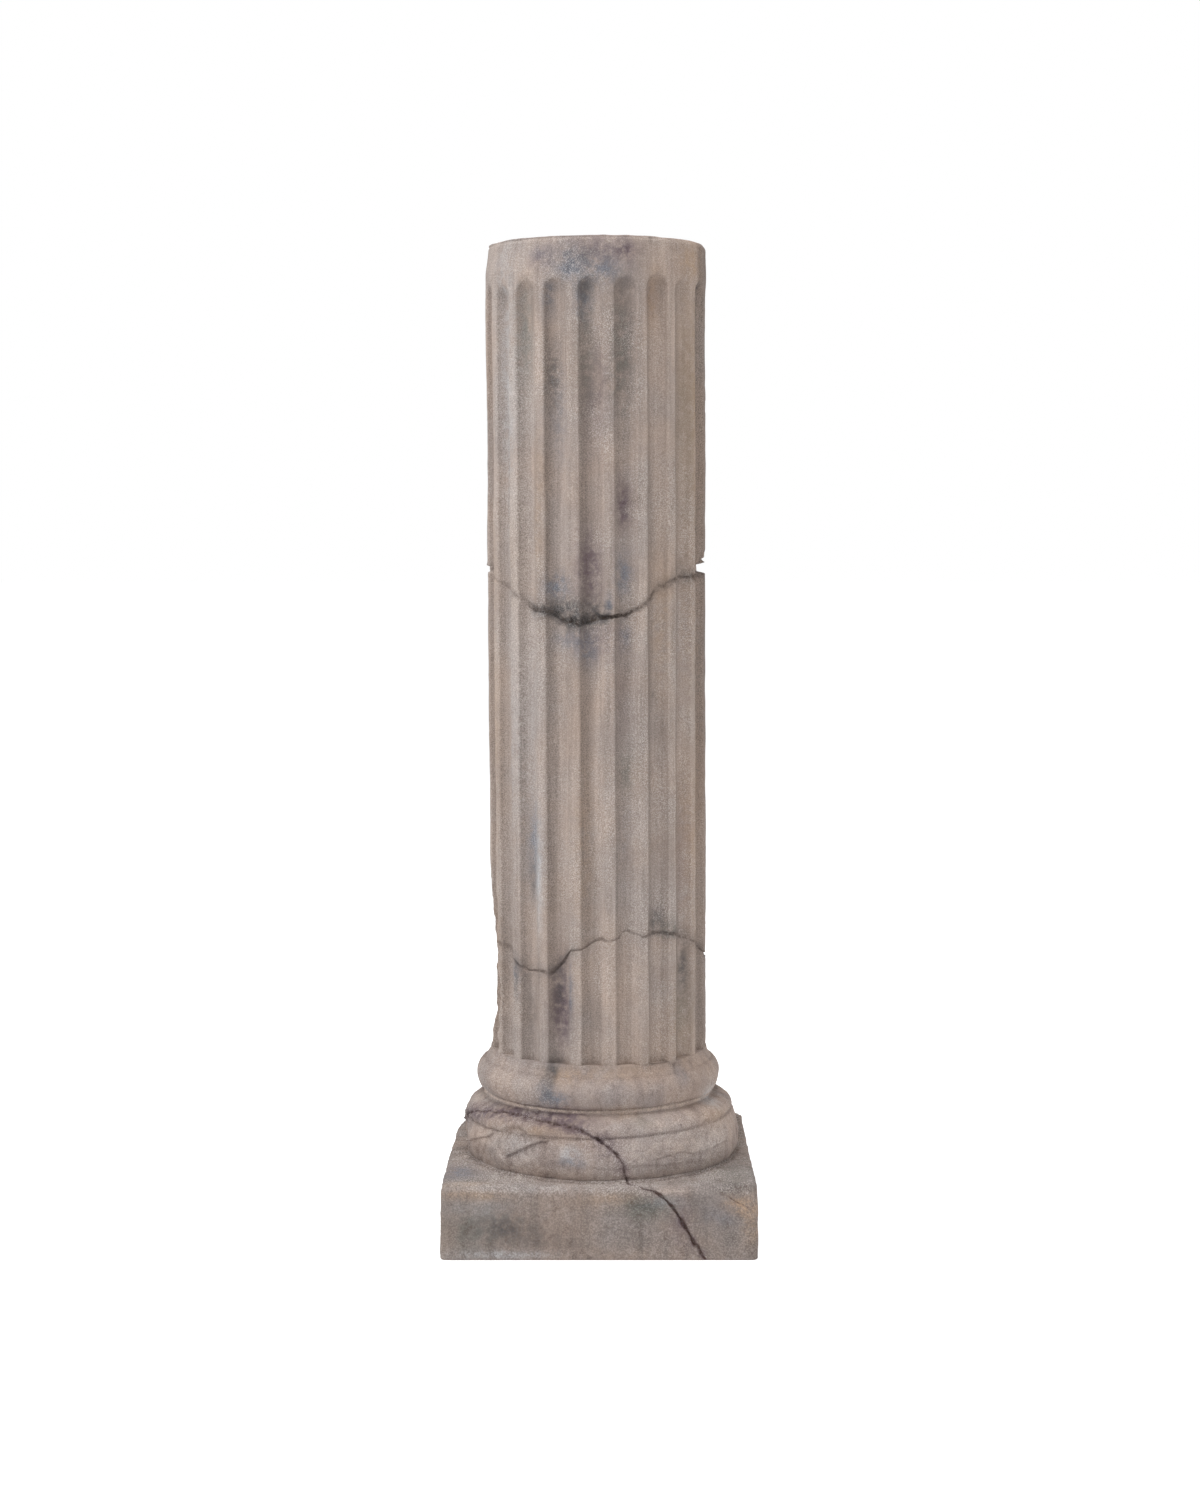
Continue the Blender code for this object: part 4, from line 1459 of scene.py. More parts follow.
@dataclass
class Plinth(StonePiece):
    """The square plinth, with its worn edges, its broken corner and the end of the base's crack.

    Attributes:
        half: half its width.
        height: its height.
        corner: radius of its upright corners.
        top_wear: how far its upper edges are rounded off.
        foot_wear: how far its lower edges are.
        collar: radius of the thin collar that the moulded base stands in.
        collar_height: its height.
        skew: how far its back stands to the right of its front.
        side_columns: how many columns of points each side has.
        worn_off: how far its faces are worn back all over.
        open_share: the share of the crack's depth that its rubble leaves open.
        warp: the broad waves of its faces.
        rough: their finer roughness.
        collar_stray: how the collar's edge wanders.
        pits: its air holes.
    """

    half: float = COLUMN_BOX[1][0]
    height: float = PLINTH_HEIGHT
    corner: float = 0.006
    top_wear: float = 0.006
    foot_wear: float = 0.0025
    collar: float = 0.1468
    collar_height: float = 0.0022
    skew: float = 0.004
    side_columns: int = 150
    worn_off: float = 0.0003
    open_share: float = 0.7
    warp: Relief = Relief(0.0008, 0.075, 2)
    rough: Relief = Relief(0.0006, 0.013, 3)
    collar_stray: Relief = Relief(0.0008, 0.012, 2)
    pits: Pits = Pits(0.0009, 0.7)

    name: ClassVar[str] = "plinth"
    stone: ClassVar[CastStone] = PLINTH_STONE
    crack: ClassVar[PathCrack] = PathCrack.through(
        (0.0277, -0.142, 0.077, 0.003, 0.0036),
        (0.0332, -0.1503, 0.077, 0.0032, 0.0034),
        (0.044, -0.162, 0.0765, 0.0032, 0.0034),
        (0.049, -0.165, 0.0762, 0.003, 0.0034),
        (0.056, -0.165, 0.074, 0.0028, 0.0036),
        (0.0651, -0.165, 0.0676, 0.003, 0.0042),
        (0.0733, -0.165, 0.0595, 0.0034, 0.0046),
        (0.0814, -0.165, 0.049, 0.0036, 0.005),
        (0.0907, -0.165, 0.0334, 0.0032, 0.005),
        (0.0999, -0.165, 0.017, 0.0024, 0.0046),
        (0.1069, -0.165, 0.0064, 0.0022, 0.004),
        (0.1116, -0.165, 0.0, 0.0022, 0.0036),
    )
    crack_edge: ClassVar[float] = 0.0763  # below this level the crack is on the front
    left_share: ClassVar[float] = 0.7  # of the front's other columns, those left of the crack
    hairlines: ClassVar[list[PathCrack]] = [
        PathCrack.through(
            (0.14, -0.158, 0.074, 0.0012, 0.0012),
            (0.15, -0.146, 0.077, 0.0018, 0.0022),
            (0.164, -0.138, 0.0765, 0.0016, 0.002),
        ),
        PathCrack.through(
            (0.131, -0.162, 0.076, 0.0026, 0.0018),
            (0.141, -0.165, 0.068, 0.003, 0.0026),
            (0.153, -0.165, 0.06, 0.003, 0.0028),
            (0.163, -0.165, 0.05, 0.0026, 0.0022),
        ),
        PathCrack.through(
            (-0.165, 0.046, 0.076, 0.0022, 0.003),
            (-0.152, 0.043, 0.077, 0.0018, 0.0024),
            (-0.144, 0.036, 0.077, 0.0012, 0.0014),
        ),
        PathCrack.through(
            (0.012, 0.15, 0.077, 0.0014, 0.002),
            (0.02, 0.165, 0.077, 0.0018, 0.003),
            (0.034, 0.165, 0.04, 0.0014, 0.002),
        ),
    ]
    scars: ClassVar[list[Scar]] = [
        Scar.through(
            (0.098, -0.165, 0.077), (0.165, -0.165, 0.046), (0.165, -0.128, 0.077), 0.09, 0.0007
        ),
        Scar((-0.163, -0.163, 0.074), (-0.5, -0.42, 0.76), 0.03, 0.0005, 0.001),
        Scar((-0.16, 0.11, 0.0752), (-0.62, 0.1, 0.78), 0.09, 0.0008, 0.0014),
        Scar((0.163, 0.163, 0.0738), (0.5, 0.42, 0.76), 0.034, 0.0006, 0.001),
        Scar((-0.164, 0.15, 0.002), (-0.8, 0.2, -0.55), 0.034, 0.0005, 0.001),
        Scar((0.05, 0.164, 0.0745), (0.05, 0.7, 0.71), 0.04, 0.0005, 0.001),
        Scar((-0.06, -0.1655, 0.0735), (-0.02, -0.7, 0.71), 0.05, 0.0005, 0.0012),
    ]
    lumps: ClassVar[list[Lump]] = [
        Lump((0.161, 0.146, 0.0765), 0.006, 0.004),
        Lump((0.158, 0.158, 0.0765), 0.005, 0.005),
        Lump((-0.158, 0.03, 0.0765), 0.006, 0.0016),
    ]

    def crack_across(self, out: float, height: float) -> float:
        """Works out where the crack crosses a row of the front, so that a column can follow it.

        Args:
            out: how far the row stands in front of the plinth's middle.
            height: its height.

        Returns:
            The crossing's x.
        """
        front = self.half + self.height
        level = out if height > self.height - self.top_wear / 2 else front - height
        stops = self.crack.stops
        travelled = [-stop.y if stop.z > self.crack_edge else front - stop.z for stop in stops]
        return float(np.interp(level, travelled, [stop.x for stop in stops]))

    def loop(self, half: float, height: float, split: float) -> np.ndarray:
        """Lays out one square loop of points.

        Args:
            half: its half width.
            height: its height.
            split: where the crack crosses its front.

        Returns:
            The points, from the front left corner round to the right.
        """
        even = np.linspace(-1.0, 1.0, self.side_columns, endpoint=False)
        front = np.column_stack([self.front_shares(half, split), -np.ones(self.side_columns)])
        right = np.column_stack([np.ones(self.side_columns), even])
        back = np.column_stack([-even, np.ones(self.side_columns)])
        left = np.column_stack([-np.ones(self.side_columns), -even])
        flat = np.concatenate([front, right, back, left]) * half
        radius = min(self.corner, half / 2)
        inner = np.clip(flat, radius - half, half - radius)
        away = flat - inner
        length = np.linalg.norm(away, axis=1, keepdims=True)
        corner = (np.abs(away) > 1e-9).all(axis=1, keepdims=True)
        flat = np.where(corner, inner + away / np.maximum(length, 1e-9) * radius, flat)
        return np.column_stack([flat, np.full(len(flat), height)])

    def front_shares(self, half: float, split: float) -> np.ndarray:
        """Spaces the front's columns, so that the same ones follow the crack in every row.

        Args:
            half: the row's half width.
            split: where the crack crosses it.

        Returns:
            Each column's x, as a share of the half width.
        """
        offsets = np.array([-0.0064, -0.0046, -0.0033, -0.0023, -0.0015, -0.0008, 0.0])
        offsets = np.concatenate([offsets, -offsets[-2::-1]])
        rest = self.side_columns - len(offsets)
        left = round(rest * self.left_share)
        before = np.linspace(-half, split + offsets[0], left, endpoint=False)
        after = np.linspace(split + offsets[-1], half, rest - left + 2)[1:-1]
        return np.concatenate([before, split + offsets, after])[: self.side_columns] / half

    def rows(self) -> list[tuple[float, float]]:
        """Lays out the rows from the middle of the underside up.

        Returns:
            The half width and height of each row.
        """
        foot, top = self.foot_wear, self.top_wear
        sides, ledges, inmost = 38, 38, 0.094
        under = [(self.half * share, 0.0) for share in (0.15, 0.4, 0.65, 0.85, 0.95)]
        quarter = [math.pi / 2 * step / 6 for step in range(7)]
        low = [(self.half - foot * (1 - math.sin(t)), foot * (1 - math.cos(t))) for t in quarter[::2]]
        wall = [(self.half, z) for z in np.linspace(foot, self.height - top, sides)[1:-1]]
        high = [
            (self.half - top * (1 - math.cos(t)), self.height - top * (1 - math.sin(t)))
            for t in quarter
        ]
        ledge = [(half, self.height) for half in np.linspace(self.half - top, inmost, ledges)[1:]]
        return under + low + wall + high + ledge + [(0.05, self.height)]

    def cracks(self, places: np.ndarray) -> tuple[np.ndarray, np.ndarray]:
        """Works out the crack and the hairlines.

        Args:
            places: the skin's points.

        Returns:
            The opening and the depth of the cut at each point.
        """
        opening, depth = self.crack.measure(places)
        cut = self.open_share * depth * smoothstep(opening, 0.1, 0.9)
        for hairline in self.hairlines:
            fine, shallow = hairline.measure(places)
            cut = cut + shallow * fine
            opening = np.maximum(opening, 0.8 * fine)
        return opening, cut

    def square_up(self, skin: Skin) -> None:
        """Skews the back to the right, and keeps the skin inside the plinth's box.

        Args:
            skin: the worn skin.
        """
        back = np.clip((skin.points[..., 1] + self.half) / (2 * self.half), 0.0, 1.0)
        left = smoothstep(-skin.points[..., 0], -self.half, self.half)
        skin.points[..., 0] += self.skew * back * left
        low, high = [-self.half, -self.half, 0.0], [self.half, self.half, 1.0]
        skin.points = np.clip(skin.points, low, high)

    def skin(self) -> Skin:
        """Builds the plinth's skin.

        Returns:
            The skin, with its masks.
        """
        loops = [self.loop(half, z, self.crack_across(half, z)) for half, z in self.rows()]
        skin = Skin(np.array(loops))
        places = skin.points
        above_foot = smoothstep(places[..., 2], 0.0, 0.004)
        ledge = smoothstep(places[..., 2], self.height - 0.001, self.height)
        out = np.hypot(places[..., 0] - BASE_MIDDLE_X, places[..., 1]) + self.collar_stray.at(places)
        collar = ledge * (1.0 - smoothstep(out, self.collar - 0.0012, self.collar + 0.0016))
        opening, cut = self.cracks(places)
        wave = self.warp.at(places) + self.rough.at(places)
        rise = sum(lump.rise(places) for lump in self.lumps)
        relief = wave - self.worn_off - self.pits.at(places) - cut + rise
        skin.push(above_foot * relief + collar * self.collar_height)
        for scar in self.scars:
            skin.points, _ = scar.cut(skin.points)
        self.square_up(skin)
        edge = smoothstep(np.abs(skin.points[..., :2]).max(axis=-1), self.half - 0.012, self.half)
        near_top = smoothstep(skin.points[..., 2], self.height - 0.014, self.height)
        # Painted shadow: a dark ring on the top, just outside the collar, under the base's overhanging
        # torus.
        painted_torus_shadow = 0.5 * ledge * bell(out, self.collar + 0.0024, 0.0016)
        # Pale coat along the upper edges, and over the whole top face as painted light that brightens the
        # top.
        skin.masks["ridge"] = np.maximum(0.45 * edge * near_top, 0.9 * ledge)
        skin.masks["hollow"] = np.clip(painted_torus_shadow + 0.5 * skin.hollow_shade_and_wash(2), 0.0, 1.0)
        skin.masks["crack"] = 0.95 * smoothstep(opening, 0.08, 0.64)
        skin.masks["purple"] = 0.6 * self.crack.nearness(places, 0.0035)
        skin.stain(STAINS)
        return skin


@dataclass
class MouldedBase(StonePiece):
    """The round base: lower torus, cushion, ring and upper torus.

    Attributes:
        foot: the level that it stands on.
        shaft_radius: radius of the shaft that it carries.
        torus_height: height of the lower torus.
        torus_swell: how far its widest ring stands out from the shaft.
        foot_swell: how far its foot stands out.
        belly: height of its widest ring.
        groove_width: width of the groove above it.
        groove_depth: depth of that groove.
        groove_tilt: how far the groove rises from the front to the right.
        cushion_height: height of the cushion.
        cushion_swell: how far the cushion's foot stands out.
        ring_swell: how far the thin ring above it stands out.
        ring_height: height of that ring.
        upper_swell: how far the upper torus's widest ring stands out.
        upper_belly: height of that ring over the thin ring.
        upper_rise: height from there to the shaft's foot.
        front_columns: columns of points round the front and the left side.
        back_columns: columns round the rest.
        outline_rows: rows of points up the outline.
        sunk: how far it is set into the plinth.
        bulge: how much fuller the lower torus is on the right.
        scored: depth of the line scored round the upper torus, near its top.
        set_in: how far the ring above that line is set in.
        worn_off: how far the whole skin is worn back.
        open_share: the share of the crack's depth that its rubble leaves open.
        warp: its broad waves.
        rough: its finer roughness.
        strata: the layers that the broken torus shows.
        rubble: the crumbs beside the crack.
        pits: its air holes.
    """

    foot: float
    shaft_radius: float = SHAFT_RADIUS
    torus_height: float = 0.046
    torus_swell: float = 0.0323
    foot_swell: float = 0.0263
    belly: float = 0.0195
    groove_width: float = 0.004
    groove_depth: float = 0.0015
    groove_tilt: float = 0.004
    cushion_height: float = 0.021
    cushion_swell: float = 0.0275
    ring_swell: float = 0.0074
    ring_height: float = 0.005
    upper_swell: float = 0.015
    upper_belly: float = 0.0183
    upper_rise: float = 0.0267
    front_columns: int = 430
    back_columns: int = 190
    outline_rows: int = 146
    sunk: float = 0.004
    bulge: float = 0.0016
    scored: float = 0.0006
    set_in: float = 0.0012
    worn_off: float = 0.0002
    open_share: float = 0.55
    warp: Relief = Relief(0.001, 0.045, 2)
    rough: Relief = Relief(0.0006, 0.012, 3)
    strata: Relief = Relief(1.0, 0.0058, 2)
    rubble: Relief = Relief(0.001, 0.0045, 2)
    pits: Pits = Pits(0.0007, 0.75)

    name: ClassVar[str] = "moulded_base"
    stone: ClassVar[CastStone] = BASE_STONE
    # Heights over the foot: the scored line, the seam on the thin ring and the pale line under it.
    score_level: ClassVar[float] = 0.105
    seam_level: ClassVar[float] = 0.0722
    pale_level: ClassVar[float] = 0.0697
    strata_lay: ClassVar[np.ndarray] = np.array([[0.22, 0.0, 0.12], [0.0, 1.0, 0.0], [0.0, 0.0, 1.0]])
    # The angles between which the columns lie closer together.
    closer_columns: ClassVar[tuple[float, float]] = (-118.0, 78.0)
    # The axis's x at four levels over the foot.
    axis_levels: ClassVar[list[float]] = [0.0, 0.046, 0.067, 0.116]
    axis_places: ClassVar[list[float]] = [BASE_MIDDLE_X, 0.0015, -0.0006, -0.0004]
    # Each scar's angle, height over the foot, depth, pitch and reach.
    flakes: ClassVar[Rows] = [
        (-84, 0.016, 0.0038, 0.0, 0.026),
        (-57, 0.014, 0.0026, -14.0, 0.026),
        (-38, 0.026, 0.003, 12.0, 0.028),
        (-14, 0.014, 0.0016, -8.0, 0.026),
        (32, 0.012, 0.0016, -12.0, 0.024),
        (52, 0.03, 0.0016, 14.0, 0.026),
        (140, 0.02, 0.0032, 3.0, 0.034),
        (205, 0.018, 0.0026, 4.0, 0.03),
    ]
    ledges: ClassVar[list[Ledge]] = [
        Ledge([(-79, 0.092), (-65, 0.1046), (-57, 0.111), (-51, 0.117)], 0.0022, 0.011),
        Ledge([(-43, 0.0965), (-36, 0.1059), (-26, 0.1185), (-22, 0.1205)], 0.0026, 0.012),
        Ledge([(22, 0.1), (34, 0.1056), (40, 0.101), (50, 0.1), (65, 0.104)], 0.0015, 0.01),
        Ledge([(-4, 0.095), (4, 0.092), (16, 0.096), (30, 0.093), (46, 0.0905)], 0.001, 0.006),
        Ledge([(122, 0.101), (136, 0.108), (156, 0.098)], 0.0022, 0.011),
        Ledge([(192, 0.096), (208, 0.105), (220, 0.1)], 0.002, 0.011),
    ]
    # Each knob's angle, height, radius from the axis, reach and rise.
    knobs: ClassVar[Rows] = [
        (-88, 0.1165, 0.147, 0.0085, 0.0058),
        (-78, 0.119, 0.146, 0.005, 0.0022),
        (-84, 0.105, 0.148, 0.006, 0.0022),
        (-56, 0.1215, 0.144, 0.008, 0.0014),
        (58, 0.133, 0.142, 0.012, 0.0018),
        (-12, 0.146, 0.128, 0.007, 0.0012),
    ]

    @property
    def ring_foot(self) -> float:
        """The level of the thin ring's foot."""
        return self.foot + self.torus_height + self.cushion_height

    @property
    def top(self) -> float:
        """The level of the shaft's foot."""
        return self.ring_foot + self.ring_height + self.upper_belly + self.upper_rise

    def profile(self) -> np.ndarray:
        """Draws the outline from the foot up.

        Returns:
            The radius and height of each of its points.
        """
        radius, groove = self.shaft_radius, self.foot + self.torus_height
        ring = self.ring_foot + self.ring_height
        t = np.linspace(0.0, 1.0, 24)
        belly = self.foot + self.belly
        low = np.column_stack([
            radius + self.foot_swell + (self.torus_swell - self.foot_swell) * (1 - (1 - t) ** 2),
            self.foot + self.belly * t,
        ])
        flank = np.column_stack([
            radius + self.torus_swell + (self.cushion_swell - self.torus_swell) * t**2,
            belly + (groove - self.groove_width / 2 - belly) * t,
        ])
        floor = radius + self.cushion_swell - self.groove_depth
        notch = np.array([[floor, groove - 0.0004], [floor, groove + 0.0006]])
        start = groove + self.groove_width / 2
        cushion = np.column_stack([
            radius + self.cushion_swell + (self.ring_swell - self.cushion_swell) * t**2.6,
            start + (self.ring_foot - start) * t,
        ])
        edge = radius + self.ring_swell
        annulet = np.array(
            [[edge, ring - 0.0012], [edge - 0.0008, ring - 0.0002], [edge - 0.0006, ring + 0.0006]]
        )
        under = np.column_stack([
            edge + (self.upper_swell - self.ring_swell) * np.sqrt(1 - (1 - t) ** 2),
            ring + self.upper_belly * t,
        ])
        over = np.column_stack([
            radius + self.upper_swell * np.cos(t * math.pi / 2) ** 1.5,
            ring + self.upper_belly + self.upper_rise * t,
        ])
        return np.concatenate([low, flank[1:], notch, cushion, annulet, under[1:], over[1:]])

    def rows(self, count: int) -> np.ndarray:
        """Divides the outline evenly along its length.

        Args:
            count: into how many points.

        Returns:
            The radius and height of each point.
        """
        outline = self.profile()
        steps = np.linalg.norm(np.diff(outline, axis=0), axis=1)
        travelled = np.concatenate([[0.0], np.cumsum(steps)])
        at = np.linspace(0.0, travelled[-1], count)
        return np.column_stack([np.interp(at, travelled, outline[:, i]) for i in range(2)])

    def angles(self) -> np.ndarray:
        """Spaces the columns, closer together round the front and the left side.

        Returns:
            Their angles.
        """
        left, right = self.closer_columns
        front = np.linspace(left, right, self.front_columns, endpoint=False)
        back = np.linspace(right, left + 360.0, self.back_columns, endpoint=False)
        return np.concatenate([front, back])

    def around_foot(self, angle: float, radius: float, height: float) -> Place:
        """Returns the place at an angle, a radius and a height round the foot's axis."""
        x, y, z = around(angle, radius, height)
        return float(x) + BASE_MIDDLE_X, float(y), float(z)

    def flake(self, points: np.ndarray) -> np.ndarray:
        """Cuts the flat scars into the lower torus.

        Args:
            points: the whole skin's points.

        Returns:
            The points with the scars cut.
        """
        widest = self.shaft_radius + self.torus_swell
        for angle, height, depth, pitch, reach in self.flakes:
            lift = math.radians(pitch)
            facing = tuple(around(angle, math.cos(lift), math.sin(lift)))
            place = self.around_foot(angle, widest - depth, self.foot + height)
            points, _ = Scar(place, facing, reach, rough=0.0005, softness=0.0007).cut(points)
        return points

    def knob_rise(self, points: np.ndarray) -> np.ndarray:
        """Raises the lumps at the left end of the crack and on the cushion.

        Args:
            points: the skin's points.

        Returns:
            How far each point is raised.
        """
        lumps = [
            Lump(self.around_foot(angle, radius, height), reach, rise)
            for angle, height, radius, reach, rise in self.knobs
        ]
        return sum(lump.rise(points) for lump in lumps)

    def grid(self) -> tuple[np.ndarray, np.ndarray]:
        """Lays out the sound, unbroken mouldings.

        Returns:
            The points, and how high each row's points lie over the foot.
        """
        angle = self.angles()
        rows = self.rows(self.outline_rows)
        low, high = self.foot - self.sunk, self.top - 0.0005
        core = 0.06
        inner = np.array([[core, low], [self.shaft_radius, low], [rows[0, 0], low]])
        seat = np.array([[self.shaft_radius - 0.012, high], [core, high]])
        rows = np.concatenate([inner, rows, seat])
        radius, height = rows[:, :1], rows[:, 1:] + 0.0 * angle
        lift = height - self.foot
        near_groove = bell(lift, self.torus_height, 0.014)
        height = height + self.groove_tilt * np.sin(np.radians(angle)) * near_groove
        fuller = self.bulge * bell(angle, 84.0, 26.0) * smoothstep(lift, 0.05, 0.03)
        step = smoothstep(lift, 0.104, 0.1056) * (1.0 - smoothstep(lift, 0.11, 0.116))
        radius = radius + fuller - self.scored * self.score(lift) - self.set_in * step
        points = around(angle[None, :], radius, height)
        points[..., 0] += np.interp(lift, self.axis_levels, self.axis_places)
        return points, lift

    def score(self, lift: np.ndarray) -> np.ndarray:
        """Returns 1 on the line scored round the upper torus, by the height over the foot."""
        return bell(lift, self.score_level, 0.0012)

    def skin(self) -> Skin:
        """Builds the base's skin.

        Returns:
            The skin, with its masks.
        """
        points, lift = self.grid()
        skin = Skin(self.flake(points))
        places = skin.points
        flat = unrolled(places, BASE_MIDDLE_X)
        on_torus = smoothstep(lift, 0.002, 0.008) * smoothstep(-lift, -0.044, -0.038)
        layers = np.clip(self.strata.at(flat @ self.strata_lay), -1.0, 0.25)
        outside = smoothstep(np.hypot(places[..., 0], places[..., 1]), 0.11, 0.116)
        wave = self.warp.at(places) + self.rough.at(places) + 0.0006 * on_torus * layers
        broken = sum(ledge.set_back(flat) for ledge in self.ledges)
        crack, depth = BASE_CRACK.measure(flat)
        cut = self.open_share * depth * smoothstep(crack, 0.1, 0.9)
        crumbs = BASE_CRACK.nearness(flat, 0.008) * self.rubble.at(places)
        relief = wave - self.worn_off - self.pits.at(places) - broken - cut + crumbs
        skin.push(outside * relief + self.knob_rise(places))
        # Darker along the groove, the seam and the scored line; painted shadow under the broken ledges and
        # painted shade in the crevices, with the wash.
        shade_and_groove_lines = 0.4 * bell(lift, self.torus_height, 0.0018)
        shade_and_groove_lines = shade_and_groove_lines + 0.3 * bell(lift, self.seam_level, 0.0011) + 0.3 * self.score(lift)
        shade_and_groove_lines = shade_and_groove_lines + 0.6 * np.clip(broken / 0.0022, 0.0, 1.0) ** 3 + 0.4 * skin.hollow_shade_and_wash(4)
        skin.masks["ridge"] = np.clip(0.55 - skin.hollows(5) * 700.0, 0.0, 1.0)
        skin.masks["hollow"] = np.clip(shade_and_groove_lines, 0.0, 1.0)
        skin.masks["crack"] = 0.95 * smoothstep(crack, 0.15, 0.85)
        skin.masks["purple"] = 0.75 * BASE_CRACK.nearness(flat, 0.0065)
        skin.masks["cream"] = 0.85 * bell(lift, self.pale_level, 0.0015)
        skin.stain(STAINS)
        return skin


@dataclass
class FlutedShaft(StonePiece):
    """The straight shaft: flutes with round heads, a plain band and a worn rim.

    Attributes:
        foot: the level that it stands on.
        top: the level of its top.
        radius: its radius over the fillets.
        lean: how far its top stands to the left.
        flutes: how many flutes it has.
        flute_depth: their depth.
        fillet: width of the fillets between them.
        head_margin: from the flutes' heads to the top.
        front_flute: angle of the middle of the flute at the front.
        arris: softness of the flutes' edges.
        rim_across: how far the rim is worn inwards.
        rim_down: how far it is worn down.
        sunk: how far it is set into the base.
        worn_off: how far the whole skin is worn back.
        chipped: depth of the chips in the fillets.
        neck_in: how far the band right under the rim is set in.
        neck_lean: how much more that is on the left, and less on the right.
        warp: its broad waves.
        rough: its finer roughness.
        lumpy: the rough stone low on its left side.
        worn_rough: the roughness of the worn side.
        worn_grit: the finer part of it.
        gravel: the rubble in the cracks.
        crumbs: the finest of that rubble.
        pits: its air holes.
    """

    foot: float
    top: float = COLUMN_BOX[1][2]
    radius: float = SHAFT_RADIUS
    lean: float = 0.0037
    flutes: int = 20
    flute_depth: float = 0.0078
    fillet: float = 0.0108
    head_margin: float = 0.0435
    front_flute: float = -3.0
    arris: float = 0.0008
    rim_across: float = 0.0075
    rim_down: float = 0.006
    sunk: float = 0.004
    worn_off: float = 0.0001
    chipped: float = 0.0014
    neck_in: float = 0.0021
    neck_lean: float = 0.0013
    warp: Relief = Relief(0.0007, 0.07, 2)
    rough: Relief = Relief(0.0003, 0.012, 2)
    lumpy: Relief = Relief(0.0018, 0.012, 3)
    worn_rough: Relief = Relief(0.0017, 0.012, 2)
    worn_grit: Relief = Relief(0.0009, 0.005)
    gravel: Relief = Relief(0.0017, 0.0056, 2)
    crumbs: Relief = Relief(0.0006, 0.0028)
    pits: Pits = Pits(0.0006, 0.8)

    name: ClassVar[str] = "fluted_shaft"
    stone: ClassVar[CastStone] = SHAFT_STONE
    # Where the columns stand across half a flute and half a fillet, as shares.
    flute_columns: ClassVar[list[float]] = [
        0.0, 0.15, 0.29, 0.42, 0.53, 0.61, 0.665, 0.705, 0.745, 0.8, 0.89, 1.0
    ]
    # How far the rows beside a crack lie from its line.
    crack_rows: ClassVar[list[float]] = [
        0.0006, 0.0012, 0.0019, 0.0027, 0.0037, 0.0049, 0.0066, 0.009, 0.0125
    ]
    # How far the flutes stray: sideways in degrees, in depth as a share, and their heads in metres.
    flute_seed: ClassVar[int] = 5
    side_stray: ClassVar[float] = 0.22
    depth_stray: ClassVar[float] = 0.08
    head_stray: ClassVar[float] = 0.002
    # How much higher the heads of the front flutes are, counted from the one at the front.
    head_rises: ClassVar[dict[int, float]] = {
        -3: -0.004, -2: 0.0, -1: 0.0005, 0: 0.001, 1: 0.001, 2: 0.005, 3: 0.002
    }
    # The worn left side: height over the foot, and how deep it is worn there.
    worn_side: ClassVar[list[tuple[float, float]]] = [
        (-0.005, 0.0026), (0.02, 0.003), (0.028, 0.0046), (0.042, 0.0078),
        (0.056, 0.007), (0.07, 0.0088), (0.084, 0.0082), (0.108, 0.009),
        (0.126, 0.006), (0.15, 0.003), (0.176, 0.0018), (0.215, -0.0008),
    ]
    # It fades out between these heights over the foot.
    worn_reach: ClassVar[tuple[float, float]] = (0.2, 0.22)
    # Each rim scar's angle, depth and pitch.
    rim_scars: ClassVar[Rows] = [
        (84, 0.005, 45.0), (158, 0.0066, 40.0), (-64, 0.0022, 50.0)
    ]

    def scar_rim(self, points: np.ndarray) -> np.ndarray:
        """Breaks the flakes off the rim.

        Args:
            points: the skin's points.

        Returns:
            The points with the scars cut.
        """
        for angle, depth, pitch in self.rim_scars:
            lift = math.radians(pitch)
            facing = around(angle, math.cos(lift), math.sin(lift))
            centre = around(angle, self.radius, self.top) - facing * depth
            points, _ = Scar(tuple(centre), tuple(facing), 0.05, 0.0006, 0.0012).cut(points)
        return points

    def flute_cut(self, angle: np.ndarray, height: np.ndarray) -> np.ndarray:
        """Works out how deep the flutes are cut.

        Args:
            angle: the points' angles.
            height: the points' heights.

        Returns:
            The depth, 0 on the fillets and the band.
        """
        pitch = 360.0 / self.flutes
        turns = (angle - self.front_flute) / pitch
        number = np.round(turns).astype(int)
        rng = np.random.default_rng(self.flute_seed)
        stray = rng.uniform(-self.side_stray, self.side_stray, self.flutes)[number % self.flutes]
        shares = rng.uniform(1.0 - self.depth_stray, 1.0 + self.depth_stray, self.flutes)
        rises = rng.uniform(-self.head_stray, self.head_stray, self.flutes)
        for flute, rise in self.head_rises.items():
            rises[flute % self.flutes] = rise
        sideways = np.radians((turns - number) * pitch - stray) * self.radius
        half = (math.radians(pitch) * self.radius - self.fillet) / 2
        spring = self.top - self.head_margin + rises[number % self.flutes] - half
        over = np.maximum(height - spring, 0.0)
        away = np.hypot(sideways, over)
        depth = self.flute_depth * shares[number % self.flutes]
        arc = (half**2 + depth**2) / (2 * depth)
        slope = half / (arc - depth)
        inside = np.sqrt(np.maximum(arc**2 - away**2, 0.0)) - (arc - depth)
        sharp = np.where(away < half, inside, (half - away) * slope)
        soft = self.arris + 0.0016 * smoothstep(over, 0.0, half)
        return (sharp + np.sqrt(sharp**2 + soft**2)) / 2

